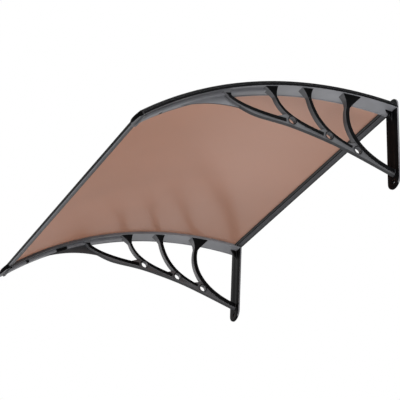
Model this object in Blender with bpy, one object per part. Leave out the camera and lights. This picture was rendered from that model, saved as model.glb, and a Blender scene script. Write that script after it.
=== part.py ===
"""Door awning: one curved brown sheet on two moulded fan brackets, with a rail along its rear and front edge.

The wall is the plane Y = 0, the awning stands out toward -Y and X runs along the wall. Every size below is in
millimetres, and MM turns it into the metres of the scene. Heights are counted from the lowest point of the wall
plates. The empty that carries all pieces then puts the scene's origin on the middle of the wall seal's back face.
"""

import math

import bmesh
import bpy
from mathutils import Matrix, Vector

MM = 0.001
CARRIER = "wall_line"

# Whole awning
BRACKET_SPACING = 942.0
BRACKET_WIDTH = 58.0
PROJECTION = 802.5
FIT = 0.3

# Roof curve, an arc seen from the side with its crest before the wall, which falls by ROOF_DROP to its front end.
# Depths go inward from its top surface
ROOF_DROP = 310.1
ROOF_CREST_BEFORE_WALL = 12.0
ROOF_FACET_DEGREES = 1.5
COVER_THICKNESS = 3.2
SHEET_THICKNESS = 3.0
FLANGE_THICKNESS = 6.2
SHEET_WALL_GAP = 8.0
SHEET_FRONT_GAP = 4.0
COVER_SIDE_LIP = 3.0
COVER_POST_GAP = 0.5

# Wall plate of a bracket
POST_HEIGHT = 301.4
POST_THICKNESS = 6.0
POST_ABOVE_ROOF = 27.7
WALL_HOLE_DIAMETER = 7.0
WALL_HOLE_HEAD_DIAMETER = 14.0
LOWER_WALL_HOLE_HEIGHT = 21.6
UPPER_WALL_HOLE_BELOW_TOP = 16.0
GUSSET_LENGTH = 29.0
GUSSET_HEIGHT = 38.0

# Struts and chord of a bracket, seen from the side. Bars reach from BAR_WEST to BAR_EAST across the bracket.
# A station is a share of the projection. A level is a share of the roof's height over the foot at that station
BAR_WEST = -6.0
BAR_EAST = 10.0
WEB_WEST = -4.0
WEB_EAST = 8.0
FIN_THICKNESS = 4.0
RING_OUTER_DIAMETER = 28.4
RING_HOLE_DIAMETER = 21.0
RING_PROUD = 0.4
RINGS = {
    "front": {"station": 0.4222, "level": 0.4747},
    "middle": {"station": 0.2737, "level": 0.3854},
    "rear": {"station": 0.1580, "level": 0.3043},
}
CHORD_LEVEL_AT_POST = 0.1827
CHORD_BOTTOM_LEVEL_AT_POST = 0.1388
BELLY_BELOW_RING = 15.4
BELLY_FRONT_STATION = 0.623
BELLY_FRONT_LEVEL = 0.5926
BELLY_LOW_STATION = 0.555
BELLY_LOW_LEVEL = 0.4685

# Each bar: where its top is along the roof, the ring before which it ends (none: the wall plate), how far above that
# ring's centre it ends, its two bending handles (shares of its run and of its fall) and its three thicknesses
BARS = {
    "front": {
        "top": 0.682, "ring": "front", "rise": -5.2,
        "handles": ((0.118, 0.909), (0.458, 1.202)), "thickness": (13.5, 12.3, 13.5),
    },
    "second": {
        "top": 0.498, "ring": "middle", "rise": -1.6,
        "handles": ((0.066, 0.646), (0.395, 0.887)), "thickness": (8.6, 11.1, 13.3),
    },
    "third": {
        "top": 0.3616, "ring": "rear", "rise": 4.0,
        "handles": ((0.127, 0.641), (0.465, 0.884)), "thickness": (11.1, 12.9, 10.1),
    },
    "rear": {
        "top": 0.1814, "ring": None, "rise": 0.0,
        "handles": ((-0.318, 0.481), (0.098, 0.899)), "thickness": (11.0, 15.9, 16.0),
    },
}
BAR_END_BEFORE_RING = 18.6
BAR_INTO_FLANGE = 1.5

# Stretch of each bar's centre line, in shares of its length, along which the web joins it
WEB_STRETCHES = {"front": (0.42, 0.86), "second": (0.50, 0.90), "third": (0.58, 0.90), "rear": (0.58, 1.0)}

# Flared strut tops: share of the projection where each starts and ends under the flange, and how deep it is
FLARES = {
    "front": {"from": 0.705, "to": 0.662, "depth": 15.5},
    "second": {"from": 0.549, "to": 0.490, "depth": 24.0},
    "third": {"from": 0.400, "to": 0.348, "depth": 25.0},
    "rear": {"from": 0.235, "to": 0.152, "depth": 42.3},
}
FLARE_WEST = 0.0
FLARE_EAST = 26.0
FLARE_CURVE = 1.7
FLARE_START = 0.1
FLARE_STEPS = 5

# Fin, spine and nose under the front of the flange. The fin meets the front bar along a stretch of that bar
FIN_DEPTH_FRONT = 14.5
FIN_STRETCH = (0.10, 0.45)
FIN_CURVE = 2.4
SPINE_WIDTH = 19.0
SPINE_HEIGHT = 7.0
SPINE_REAR_STATION = 0.53
NOSE_BULGE = 9.3
NOSE_DEPTH = 14.6
NOSE_RIB_DEPTH = 19.0
NOSE_RIB_THICKNESS = 7.0
NOSE_RIB_GAP = 8.0

# Round pin across each nose
PIN_SHAFT_DIAMETER = 6.0
PIN_HEAD_DIAMETER = 8.8
PIN_HEAD_HEIGHT = 2.5
PIN_LENGTH = 16.0
PIN_DEPTH = 13.0
PIN_BOSS_DIAMETER = 12.4

# Rails along the rear and front edge of the sheet
RAIL_WALL = 3.0
RAIL_LIP = 2.8
RAIL_UPPER_LIP_LENGTH = 26.0
RAIL_LOWER_LIP_LENGTH = 14.0
RAIL_END_GAP = 0.5
GASKET_THICKNESS = 1.4
GASKET_INSIDE_RAIL = 8.5
GASKET_BEAD_GAP = 2.5
GASKET_BEAD_WIDTH = 6.0
GASKET_BEAD_DEPTH = 3.8
WALL_SEAL_HEIGHT = 8.0

# Screws that hold a cover strip
SCREW_STATIONS = (0.950, 0.686, 0.508, 0.367, 0.192, 0.063)
SCREW_SHANK_DIAMETER = 4.0
SCREW_HEAD_DIAMETER = 9.0
SCREW_HEAD_HEIGHT = 2.4
SCREW_TIP_DEPTH = 12.1
SCREW_HOLE_DIAMETER = 4.8

# Solids that are joined stay this much inside a flush face, and cutters run this much past a face
FLUSH_INSET = 0.2
CUT_OVERRUN = 1.0

# Facets
WELD_DISTANCE = 0.004
BELLY_STEPS = 5
STRETCH_STEPS = 7
CURVE_STEPS = 18
ROUND_FACETS = 32
SMALL_ROUND_FACETS = 16

SHEET_DEPTH = COVER_THICKNESS + FIT
FLANGE_DEPTH = SHEET_DEPTH + SHEET_THICKNESS + FIT
FLANGE_BOTTOM = FLANGE_DEPTH + FLANGE_THICKNESS
HALF_WIDTH = BRACKET_WIDTH / 2
ROOF_AT_WALL = POST_HEIGHT - POST_ABOVE_ROOF
ROOF_RUN = PROJECTION - ROOF_CREST_BEFORE_WALL
ROOF_RADIUS = (ROOF_RUN**2 + ROOF_DROP**2) / (2 * ROOF_DROP)
ROOF_CENTRE_HEIGHT = ROOF_AT_WALL - math.sqrt(ROOF_RADIUS**2 - ROOF_CREST_BEFORE_WALL**2)
RAIL_HALF_LENGTH = BRACKET_SPACING / 2 - HALF_WIDTH - RAIL_END_GAP
SIDES = (("left", -1), ("right", 1))

FINISHES = {
    "bracket": {"colour": (0.012, 0.012, 0.013), "roughness": 0.38},
    "strip": {"colour": (0.010, 0.010, 0.011), "roughness": 0.42},
    "sheet": {"colour": (0.36, 0.21, 0.16), "roughness": 0.3, "transmission": 0.35},
    "rail": {"colour": (0.05, 0.05, 0.055), "roughness": 0.4, "metallic": 0.8},
    "rubber": {"colour": (0.02, 0.02, 0.021), "roughness": 0.7},
    "screw": {"colour": (0.45, 0.45, 0.46), "roughness": 0.3, "metallic": 1.0},
    "pin": {"colour": (0.008, 0.008, 0.009), "roughness": 0.5},
}


def clear_scene():
    """Empty the scene, then add the empty that carries the awning."""
    for thing in list(bpy.data.objects):
        bpy.data.objects.remove(thing, do_unlink=True)
    carrier = bpy.data.objects.new(CARRIER, None)
    carrier.location = (0.0, 0.0, -wall_seal_middle() * MM)
    bpy.context.scene.collection.objects.link(carrier)


def roof_angle(distance, depth=0.0):
    """Angle from the vertical at which the arc of this depth stands out from the wall by this distance."""
    return math.asin((distance - ROOF_CREST_BEFORE_WALL) / (ROOF_RADIUS - depth))


def roof_point(depth, angle):
    """Point (y, z) of the arc of this depth."""
    radius = ROOF_RADIUS - depth
    return (-ROOF_CREST_BEFORE_WALL - radius * math.sin(angle), ROOF_CENTRE_HEIGHT + radius * math.cos(angle))


def roof_angles(start, end):
    """Both end angles and the steps of one common grid between them, so that stacked arcs have the same facets."""
    step = math.radians(ROOF_FACET_DEGREES)
    first = math.floor(start / step) + 1
    last = math.ceil(end / step) - 1
    inner = [k * step for k in range(first, last + 1)]
    slack = step * 0.1
    inner = [a for a in inner if start + slack < a < end - slack]
    return [start] + inner + [end]


def roof_arc(depth, start, end):
    """Points of the arc of this depth from one angle to another."""
    if start > end:
        return list(reversed(roof_arc(depth, end, start)))
    return [roof_point(depth, a) for a in roof_angles(start, end)]


def sheet_ends():
    """Angles of the sheet's rear and front edge."""
    return roof_angle(SHEET_WALL_GAP, SHEET_DEPTH), roof_angle(PROJECTION - SHEET_FRONT_GAP, SHEET_DEPTH)


def station(share):
    """Distance from the wall at this share of the projection."""
    return share * PROJECTION


def under_roof(distance, level):
    """Point (y, z) at this distance from the wall and this share of the roof's height over the foot."""
    return (-distance, roof_point(0.0, roof_angle(distance))[1] * level)


def new_object(name, mesh_builder, finish):
    """Object with the mesh of a bmesh, in metres, and a material of its own if it has a finish."""
    bmesh.ops.remove_doubles(mesh_builder, verts=mesh_builder.verts, dist=0.001)
    bmesh.ops.recalc_face_normals(mesh_builder, faces=mesh_builder.faces)
    bmesh.ops.scale(mesh_builder, vec=(MM, MM, MM), verts=mesh_builder.verts)
    mesh = bpy.data.meshes.new(name)
    mesh_builder.to_mesh(mesh)
    mesh_builder.free()
    thing = bpy.data.objects.new(name, mesh)
    bpy.context.scene.collection.objects.link(thing)
    thing.parent = bpy.data.objects[CARRIER]
    if finish:
        mesh.materials.append(plain_material(f"{name}_finish", **FINISHES[finish]))
    return thing


def extruded(name, corners, shift, finish=None):
    """Solid of a flat outline that is pushed along a vector."""
    shape = bmesh.new()
    face = shape.faces.new([shape.verts.new(corner) for corner in corners])
    grown = bmesh.ops.extrude_face_region(shape, geom=[face])
    moved = [v for v in grown["geom"] if isinstance(v, bmesh.types.BMVert)]
    bmesh.ops.translate(shape, vec=shift, verts=moved)
    return new_object(name, shape, finish)


def prism(name, outline, west, east, finish=None):
    """Solid whose outline lies in the side view and which reaches across from one X to another."""
    return extruded(name, [(west, y, z) for y, z in outline], (east - west, 0, 0), finish)


def upright_prism(name, outline, front, back):
    """Solid whose outline lies in the wall's plane and which reaches from one Y to another."""
    return extruded(name, [(x, front, z) for x, z in outline], (0, back - front, 0))


def level_prism(name, outline, bottom, top):
    """Solid whose outline lies in the plan view and which reaches from one Z to another."""
    return extruded(name, [(x, y, bottom) for x, y in outline], (0, 0, top - bottom))


def loft(name, sections, finish=None):
    """Solid through equal rings of points, closed at both ends."""
    shape = bmesh.new()
    rings = [[shape.verts.new(point) for point in section] for section in sections]
    count = len(rings[0])
    for ring, following in zip(rings, rings[1:]):
        for k in range(count):
            after = (k + 1) % count
            shape.faces.new((ring[k], ring[after], following[after], following[k]))
    shape.faces.new(list(reversed(rings[0])))
    shape.faces.new(rings[-1])
    return new_object(name, shape, finish)


def roof_sweep(name, section, start, end, finish):
    """Solid with a section of (x, depth) corners that follows the roof curve."""
    sections = []
    for angle in roof_angles(start, end):
        sections.append([(x, *roof_point(depth, angle)) for x, depth in section])
    return loft(name, sections, finish)


def turned(name, profile, facets, placing, finish=None):
    """Solid of revolution of (radius, height) corners that start and end on its axis, or where they began."""
    shape = bmesh.new()
    closed = profile[0] == profile[-1]
    corners = [shape.verts.new((radius, 0, height)) for radius, height in (profile[:-1] if closed else profile)]
    edges = [shape.edges.new(pair) for pair in zip(corners, corners[1:] + (corners[:1] if closed else []))]
    bmesh.ops.spin(
        shape, geom=corners + edges, axis=(0, 0, 1), cent=(0, 0, 0), steps=facets, angle=math.tau, use_duplicate=False
    )
    bmesh.ops.transform(shape, matrix=placing, verts=shape.verts)
    return new_object(name, shape, finish)


def along_x(x, y, z, toward=1):
    """Placing of a turned solid whose axis runs along X, toward +X or -X."""
    return Matrix.Translation((x, y, z)) @ Matrix.Rotation(toward * math.pi / 2, 4, "Y")


def along_y(x, y, z):
    """Placing of a turned solid whose axis runs along -Y, out of the wall."""
    return Matrix.Translation((x, y, z)) @ Matrix.Rotation(math.pi / 2, 4, "X")


def along_roof_normal(x, angle):
    """Placing of a turned solid whose axis stands on the roof's top surface."""
    y, z = roof_point(0.0, angle)
    return Matrix.Translation((x, y, z)) @ Matrix.Rotation(angle, 4, "X")


def combine(body, step_name, tools, operation):
    """Boolean of a body with hidden tools, kept as a modifier."""
    group = bpy.data.collections.new(f"{body.name}_{step_name}")
    bpy.context.scene.collection.children.link(group)
    for tool in tools:
        group.objects.link(tool)
        bpy.context.scene.collection.objects.unlink(tool)
        tool.hide_render = True
        tool.display_type = "WIRE"
    step = body.modifiers.new(step_name, "BOOLEAN")
    step.operation = operation
    step.solver = "EXACT"
    step.operand_type = "COLLECTION"
    step.collection = group
    weld = body.modifiers.new(f"{step_name}_weld", "WELD")
    weld.merge_threshold = WELD_DISTANCE * MM
    return body


def smooth(thing, degrees=25.0):
    """Shade rounded faces smooth and keep the corners sharp."""
    thing.data.polygons.foreach_set("use_smooth", [True] * len(thing.data.polygons))
    thing.data.set_sharp_from_angle(angle=math.radians(degrees))
    return thing


def plain_material(name, colour, roughness, metallic=0.0, transmission=0.0):
    """Principled material."""
    material = bpy.data.materials.new(name)
    material.use_nodes = True
    surface = material.node_tree.nodes["Principled BSDF"]
    surface.inputs["Base Color"].default_value = (*colour, 1.0)
    surface.inputs["Roughness"].default_value = roughness
    surface.inputs["Metallic"].default_value = metallic
    surface.inputs["Transmission Weight"].default_value = transmission
    return material


def ring_centre(name):
    """Centre (y, z) of a ring in the side view."""
    ring = RINGS[name]
    return under_roof(station(ring["station"]), ring["level"])


def bezier(points, share):
    """Point of a cubic curve."""
    a, b, c, d = (Vector(p) for p in points)
    rest = 1.0 - share
    return a * rest**3 + b * (3 * share * rest**2) + c * (3 * share**2 * rest) + d * share**3


def bar_curve(bar):
    """Four control points of a bar's centre line, from the flange to its end."""
    depth = FLANGE_BOTTOM - BAR_INTO_FLANGE
    top = Vector(roof_point(depth, roof_angle(station(bar["top"]), depth)))
    if bar["ring"]:
        y, z = ring_centre(bar["ring"])
        end = Vector((y - BAR_END_BEFORE_RING, z + bar["rise"]))
    else:
        end = Vector(under_roof(POST_THICKNESS / 2, CHORD_LEVEL_AT_POST))
    run = end - top
    handles = [Vector((top.x + run.x * along, top.y + run.y * down)) for along, down in bar["handles"]]
    return (top, handles[0], handles[1], end)


def bar_thickness(bar, share):
    """Thickness of a bar at a share of its length, from its three given values."""
    first, middle, last = bar["thickness"]
    rest = 1.0 - share
    swell = 2.0 * middle - (first + last) / 2.0
    return first * rest**2 + 2.0 * swell * share * rest + last * share**2


def bar_outline(bar):
    """Outline of a bar in the side view: its centre line, thickened to both sides."""
    points = bar_curve(bar)
    upper, lower = [], []
    for k in range(CURVE_STEPS + 1):
        share = k / CURVE_STEPS
        here = bezier(points, share)
        ahead = bezier(points, min(share + 0.01, 1.0))
        behind = bezier(points, max(share - 0.01, 0.0))
        direction = (ahead - behind).normalized()
        aside = Vector((-direction.y, direction.x)) * bar_thickness(bar, share) / 2
        upper.append(here + aside)
        lower.append(here - aside)
    return [tuple(p) for p in upper] + [tuple(p) for p in reversed(lower)]


def spline(points, steps):
    """Smooth line through points."""
    ends = [points[0]] + list(points) + [points[-1]]
    line = []
    for a, b, c, d in zip(ends, ends[1:], ends[2:], ends[3:]):
        a, b, c, d = Vector(a), Vector(b), Vector(c), Vector(d)
        for k in range(steps):
            t = k / steps
            bend = (b * 2) + (c - a) * t + (a * 2 - b * 5 + c * 4 - d) * t**2 + (b * 3 - a - c * 3 + d) * t**3
            line.append(tuple(bend * 0.5))
    line.append(tuple(points[-1]))
    return line


def belly_front():
    """Front end (y, z) of the chord's underside, where the fin's lower edge ends."""
    return under_roof(station(BELLY_FRONT_STATION), BELLY_FRONT_LEVEL)


def belly_line():
    """Underside of the chord from its front end to the wall plate."""
    points = [belly_front(), under_roof(station(BELLY_LOW_STATION), BELLY_LOW_LEVEL)]
    for name in ("front", "middle", "rear"):
        y, z = ring_centre(name)
        points.append((y, z - BELLY_BELOW_RING))
    points.append(under_roof(POST_THICKNESS / 2, CHORD_BOTTOM_LEVEL_AT_POST))
    return spline(points, BELLY_STEPS)


def centre_stretch(name, start, end):
    """Stretch of a bar's centre line."""
    points = bar_curve(BARS[name])
    shares = [start + (end - start) * k / STRETCH_STEPS for k in range(STRETCH_STEPS + 1)]
    return [tuple(bezier(points, share)) for share in shares]


def web_outline():
    """Plate that joins the bars to each other round the rings, down to the underside."""
    top = []
    for name, stretch in WEB_STRETCHES.items():
        top += centre_stretch(name, *stretch)
    return belly_line() + list(reversed(top))


def fin_outline():
    """Crescent plate from the nose to the front bar, between the flange and a lower edge that ends on the belly."""
    front_distance = PROJECTION - NOSE_RIB_GAP
    inside = FLANGE_DEPTH + FLANGE_THICKNESS / 2
    top = roof_arc(inside, roof_angle(front_distance), roof_angle(station(BARS["front"]["top"]), FLANGE_BOTTOM))
    rear_y, rear_z = belly_front()
    rear_depth = ROOF_RADIUS - math.hypot(rear_y + ROOF_CREST_BEFORE_WALL, rear_z - ROOF_CENTRE_HEIGHT)
    bottom = []
    for k in range(CURVE_STEPS + 1):
        share = k / CURVE_STEPS
        distance = -rear_y + (front_distance + rear_y) * share
        depth = FIN_DEPTH_FRONT + (rear_depth - FIN_DEPTH_FRONT) * (1.0 - share) ** FIN_CURVE
        bottom.append(roof_point(depth, roof_angle(distance, depth)))
    return top + centre_stretch("front", *FIN_STRETCH) + bottom


def post(name, middle):
    """Wall plate with both ends round."""
    outline = []
    for k in range(ROUND_FACETS + 1):
        turn = math.pi * k / ROUND_FACETS
        outline.append(
            (middle + HALF_WIDTH * math.cos(turn), POST_HEIGHT - HALF_WIDTH + HALF_WIDTH * math.sin(turn))
        )
    for k in range(ROUND_FACETS + 1):
        turn = math.pi + math.pi * k / ROUND_FACETS
        outline.append((middle + HALF_WIDTH * math.cos(turn), HALF_WIDTH + HALF_WIDTH * math.sin(turn)))
    return upright_prism(f"{name}_post", outline, -POST_THICKNESS, 0.0)


def gusset(name, middle):
    """Triangular plate between the wall plate and the flange."""
    half = FIN_THICKNESS / 2
    top = roof_point(FLANGE_DEPTH + FLANGE_THICKNESS / 2, roof_angle(GUSSET_LENGTH))
    corner = roof_point(FLANGE_DEPTH + FLANGE_THICKNESS / 2, roof_angle(POST_THICKNESS / 2))
    outline = [corner, top, (corner[0], corner[1] - GUSSET_HEIGHT)]
    return prism(f"{name}_gusset", outline, middle - half, middle + half)


def bars(name, middle):
    """Curved struts with the chord that they run into."""
    west = middle + BAR_WEST
    east = middle + BAR_EAST
    return [prism(f"{name}_bar_{part}", bar_outline(bar), west, east) for part, bar in BARS.items()]


def flares(name, middle):
    """Strut tops that widen toward the flange."""
    tools = []
    for part, flare in FLARES.items():
        bar = BARS[part]
        points = bar_curve(bar)
        inside = FLANGE_DEPTH + FLANGE_THICKNESS / 2
        top_front = roof_point(inside, roof_angle(station(flare["from"]), FLANGE_DEPTH))
        top_back = roof_point(inside, roof_angle(station(flare["to"]), FLANGE_DEPTH))
        top_level = (top_front[1] + top_back[1]) / 2
        half = bar_thickness(bar, FLARE_START) / 2
        sections = []
        for k in range(FLARE_STEPS + 1):
            share = k / FLARE_STEPS
            opening = share**FLARE_CURVE
            level = top_level - flare["depth"] * (1.0 - share)
            centre = level_point(points, level)
            front = centre.x - half + (top_front[0] - centre.x + half) * opening
            back = centre.x + half + (top_back[0] - centre.x - half) * opening
            west = middle + BAR_WEST + FLUSH_INSET + (FLARE_WEST - BAR_WEST) * opening
            east = middle + BAR_EAST - FLUSH_INSET + (FLARE_EAST - BAR_EAST) * opening
            front_level = level + (top_front[1] - top_level) * opening
            back_level = level + (top_back[1] - top_level) * opening
            corners = ((west, front, front_level), (east, front, front_level), (east, back, back_level))
            sections.append([*corners, (west, back, back_level)])
        tools.append(loft(f"{name}_flare_{part}", sections))
    return tools


def level_point(points, level):
    """Point of a bar's centre line at a height near its top."""
    best = bezier(points, 0.0)
    for k in range(41):
        here = bezier(points, k / 80)
        if abs(here.y - level) < abs(best.y - level):
            best = here
    return best


def tube_profile(inner, outer, start, end):
    """Corners (radius, height) of a tube's wall."""
    return ((inner, start), (outer, start), (outer, end), (inner, end), (inner, start))


def ring_clearings(name, middle):
    """Cut-outs of web and bars round the eyes, larger than the eyes' holes."""
    clearing = (RING_OUTER_DIAMETER + RING_HOLE_DIAMETER) / 4
    profile = ((0, 0), (clearing, 0), (clearing, BRACKET_WIDTH), (0, BRACKET_WIDTH))
    places = [(part, along_x(middle - HALF_WIDTH, *ring_centre(part))) for part in RINGS]
    return [turned(f"{name}_clearing_{part}", profile, ROUND_FACETS, placing) for part, placing in places]


def rings(name, middle):
    """Tubes of the eyes at the chord's joints."""
    west = WEB_WEST - RING_PROUD
    length = BAR_EAST + RING_PROUD - west
    profile = tube_profile(RING_HOLE_DIAMETER / 2, RING_OUTER_DIAMETER / 2, 0.0, length)
    places = [(part, along_x(middle + west, *ring_centre(part))) for part in RINGS]
    return [turned(f"{name}_ring_{part}", profile, ROUND_FACETS, placing) for part, placing in places]


def nose(name, middle):
    """Rounded front end of a bracket."""
    start = sheet_ends()[1] + FIT / (ROOF_RADIUS - NOSE_DEPTH)
    end = roof_angle(PROJECTION + 2 * NOSE_BULGE)
    outline = roof_arc(0.0, start, end) + roof_arc(NOSE_DEPTH, end, start)
    side = prism(f"{name}_nose", outline, middle - HALF_WIDTH, middle + HALF_WIDTH)
    reach = HALF_WIDTH + CUT_OVERRUN
    plan = []
    steps = ROUND_FACETS // 2
    for k in range(steps + 1):
        share = 2.0 * k / steps - 1.0
        plan.append((middle + reach * share, -PROJECTION - NOSE_BULGE * (1.0 - share**2)))
    behind = -PROJECTION + 2 * NOSE_BULGE
    plan += [(middle + reach, behind), (middle - reach, behind)]
    bottom = roof_point(NOSE_DEPTH, end)[1] - NOSE_DEPTH
    combine(side, "plan", [level_prism(f"{name}_nose_plan", plan, bottom, ROOF_AT_WALL)], "INTERSECT")
    return side


def nose_rib(name, middle):
    """Cross rib behind the nose."""
    front = roof_angle(PROJECTION - NOSE_RIB_GAP, FLANGE_BOTTOM)
    back = roof_angle(PROJECTION - NOSE_RIB_GAP - NOSE_RIB_THICKNESS, FLANGE_BOTTOM)
    inside = FLANGE_DEPTH + FLANGE_THICKNESS / 2
    outline = [roof_point(inside, front), roof_point(inside, back)]
    outline += [roof_point(NOSE_RIB_DEPTH, back), roof_point(NOSE_RIB_DEPTH, front)]
    half = HALF_WIDTH - FLUSH_INSET
    return prism(f"{name}_nose_rib", outline, middle - half, middle + half)


def spine(name, middle):
    """Thick middle under the front of the flange."""
    front = roof_angle(PROJECTION - NOSE_RIB_GAP - NOSE_RIB_THICKNESS / 2, FLANGE_BOTTOM)
    rear = roof_angle(station(SPINE_REAR_STATION), FLANGE_BOTTOM)
    inside = FLANGE_DEPTH + FLANGE_THICKNESS / 2
    outline = roof_arc(inside, rear, front) + roof_arc(FLANGE_BOTTOM + SPINE_HEIGHT, front, rear)
    half = SPINE_WIDTH / 2
    return prism(f"{name}_spine", outline, middle - half, middle + half)


def pin_centre():
    """Centre (y, z) of the pin across the nose."""
    return roof_point(PIN_DEPTH, roof_angle(PROJECTION - NOSE_RIB_GAP - NOSE_RIB_THICKNESS / 2, PIN_DEPTH))


def pin_clearing(name, middle, outward):
    """Cut-out of the rib round the pin's hole, larger than the hole."""
    clearing = (PIN_BOSS_DIAMETER + PIN_HEAD_DIAMETER) / 4 + FIT / 2
    reach = PIN_LENGTH + RAIL_WALL
    end = reach - CUT_OVERRUN
    profile = ((0, -CUT_OVERRUN), (clearing, -CUT_OVERRUN), (clearing, end), (0, end))
    placing = along_x(middle + outward * HALF_WIDTH, *pin_centre(), -outward)
    return turned(f"{name}_pin_clearing", profile, ROUND_FACETS, placing)


def pin_boss(name, middle, outward):
    """Boss of the pin with its stepped hole, at the bracket's outer side."""
    reach = PIN_LENGTH + RAIL_WALL
    boss = PIN_BOSS_DIAMETER / 2
    shaft = PIN_SHAFT_DIAMETER / 2 + FIT
    head = PIN_HEAD_DIAMETER / 2 + FIT
    depth = PIN_HEAD_HEIGHT + FIT
    end = PIN_LENGTH + FIT
    profile = ((0, end), (shaft, end), (shaft, depth), (head, depth), (head, 0), (boss, 0), (boss, reach), (0, reach))
    placing = along_x(middle + outward * (HALF_WIDTH - FLUSH_INSET), *pin_centre(), -outward)
    return turned(f"{name}_pin_boss", profile, ROUND_FACETS, placing)


def screw_holes(name, middle, start_depth, end_depth):
    """Holes of the cover strip's screws through the layers between two depths."""
    radius = SCREW_HOLE_DIAMETER / 2
    profile = ((0, -start_depth), (radius, -start_depth), (radius, -end_depth), (0, -end_depth))
    places = [along_roof_normal(middle, roof_angle(station(share))) for share in SCREW_STATIONS]
    return [
        turned(f"{name}_screw_hole_{number}", profile, SMALL_ROUND_FACETS, placing)
        for number, placing in enumerate(places, 1)
    ]


def wall_holes(name, middle):
    """Countersunk holes of the wall screws, which aren't part of the awning."""
    shank = WALL_HOLE_DIAMETER / 2
    head = WALL_HOLE_HEAD_DIAMETER / 2
    sink = POST_THICKNESS - head + shank
    outside = POST_THICKNESS + CUT_OVERRUN
    wide = head + CUT_OVERRUN
    profile = ((0, -CUT_OVERRUN), (shank, -CUT_OVERRUN), (shank, sink), (wide, outside), (0, outside))
    heights = (LOWER_WALL_HOLE_HEIGHT, POST_HEIGHT - UPPER_WALL_HOLE_BELOW_TOP)
    return [
        turned(f"{name}_wall_hole_{number}", profile, ROUND_FACETS, along_y(middle, 0.0, height))
        for number, height in enumerate(heights, 1)
    ]


def build_bracket(side, outward):
    """One moulded fan bracket: flange, wall plate, struts, chord with three eyes, fin, spine and nose."""
    name = f"bracket_{side}"
    middle = outward * BRACKET_SPACING / 2
    west = middle - HALF_WIDTH
    east = middle + HALF_WIDTH
    front = sheet_ends()[1] + 2.0 / ROOF_RADIUS
    rear = roof_angle(POST_THICKNESS / 2, FLANGE_DEPTH)
    section = ((west, FLANGE_DEPTH), (east, FLANGE_DEPTH), (east, FLANGE_BOTTOM), (west, FLANGE_BOTTOM))
    body = roof_sweep(name, section, rear, front, "bracket")
    web_west = middle + WEB_WEST
    web = prism(f"{name}_web", web_outline(), web_west, middle + WEB_EAST)
    fin = prism(f"{name}_fin", fin_outline(), web_west, web_west + FIN_THICKNESS)
    solid = [post(name, middle), gusset(name, middle), web, *bars(name, middle), *flares(name, middle)]
    solid += [fin, spine(name, middle), nose(name, middle), nose_rib(name, middle)]
    combine(body, "moulding", solid, "UNION")
    cuts = [*ring_clearings(name, middle), pin_clearing(name, middle, outward), *wall_holes(name, middle)]
    cuts += screw_holes(name, middle, FLANGE_DEPTH - CUT_OVERRUN, SCREW_TIP_DEPTH + FIT)
    combine(body, "cuts", cuts, "DIFFERENCE")
    combine(body, "tubes", [*rings(name, middle), pin_boss(name, middle, outward)], "UNION")
    return smooth(body)


def build_sheet():
    """Curved sheet, held by the flanges, the cover strips and both rails."""
    half = BRACKET_SPACING / 2 + HALF_WIDTH - COVER_SIDE_LIP - FIT
    bottom = SHEET_DEPTH + SHEET_THICKNESS
    section = ((-half, SHEET_DEPTH), (half, SHEET_DEPTH), (half, bottom), (-half, bottom))
    sheet = roof_sweep("roof_sheet", section, *sheet_ends(), "sheet")
    holes = []
    for side, outward in SIDES:
        holes += screw_holes(f"sheet_{side}", outward * BRACKET_SPACING / 2, 0.0, FLANGE_DEPTH + CUT_OVERRUN)
    combine(sheet, "holes", holes, "DIFFERENCE")
    return smooth(sheet, 10.0)


def build_cover_strip(side, outward):
    """Strip that clamps the sheet on a bracket, with a lip over the sheet's side edge."""
    middle = outward * BRACKET_SPACING / 2
    inner = middle - outward * HALF_WIDTH
    outer = middle + outward * HALF_WIDTH
    lip = outer - outward * COVER_SIDE_LIP
    lip_bottom = FLANGE_DEPTH - FIT
    section = (
        (inner, 0.0),
        (outer, 0.0),
        (outer, lip_bottom),
        (lip, lip_bottom),
        (lip, COVER_THICKNESS),
        (inner, COVER_THICKNESS),
    )
    start = roof_angle(POST_THICKNESS + COVER_POST_GAP)
    strip = roof_sweep(f"cover_strip_{side}", section, start, sheet_ends()[1], "strip")
    holes = screw_holes(strip.name, middle, -CUT_OVERRUN, COVER_THICKNESS + CUT_OVERRUN)
    combine(strip, "holes", holes, "DIFFERENCE")
    return smooth(strip, 10.0)


def rail_outline(edge_angle, inward):
    """Channel seen from the side. The sheet's edge is at edge_angle and inward points from it to the sheet's middle."""
    gap = inward * FIT / ROOF_RADIUS
    wall = inward * RAIL_WALL / ROOF_RADIUS
    upper = inward * RAIL_UPPER_LIP_LENGTH / ROOF_RADIUS
    lower = inward * RAIL_LOWER_LIP_LENGTH / ROOF_RADIUS
    inner_face = edge_angle - gap
    outer_face = inner_face - wall
    lip_top = FLANGE_DEPTH + GASKET_THICKNESS + FIT
    lip_bottom = lip_top + RAIL_LIP
    outline = roof_arc(0.0, outer_face, outer_face + upper)
    outline += roof_arc(COVER_THICKNESS, outer_face + upper, inner_face)
    outline += roof_arc(lip_top, inner_face, outer_face + lower)
    outline += roof_arc(lip_bottom, outer_face + lower, outer_face)
    return outline, outer_face


def gasket_outline(outer_face, inward):
    """Rubber strip between the sheet and the rail's lower lip, with a bead in front of the lip."""
    lower = outer_face + inward * RAIL_LOWER_LIP_LENGTH / ROOF_RADIUS
    start = lower - inward * GASKET_INSIDE_RAIL / ROOF_RADIUS
    bead = lower + inward * GASKET_BEAD_GAP / ROOF_RADIUS
    end = bead + inward * GASKET_BEAD_WIDTH / ROOF_RADIUS
    top = FLANGE_DEPTH
    outline = roof_arc(top, start, end)
    outline += roof_arc(top + GASKET_BEAD_DEPTH, end, bead)
    outline += roof_arc(top + GASKET_THICKNESS, bead, start)
    return outline


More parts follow.
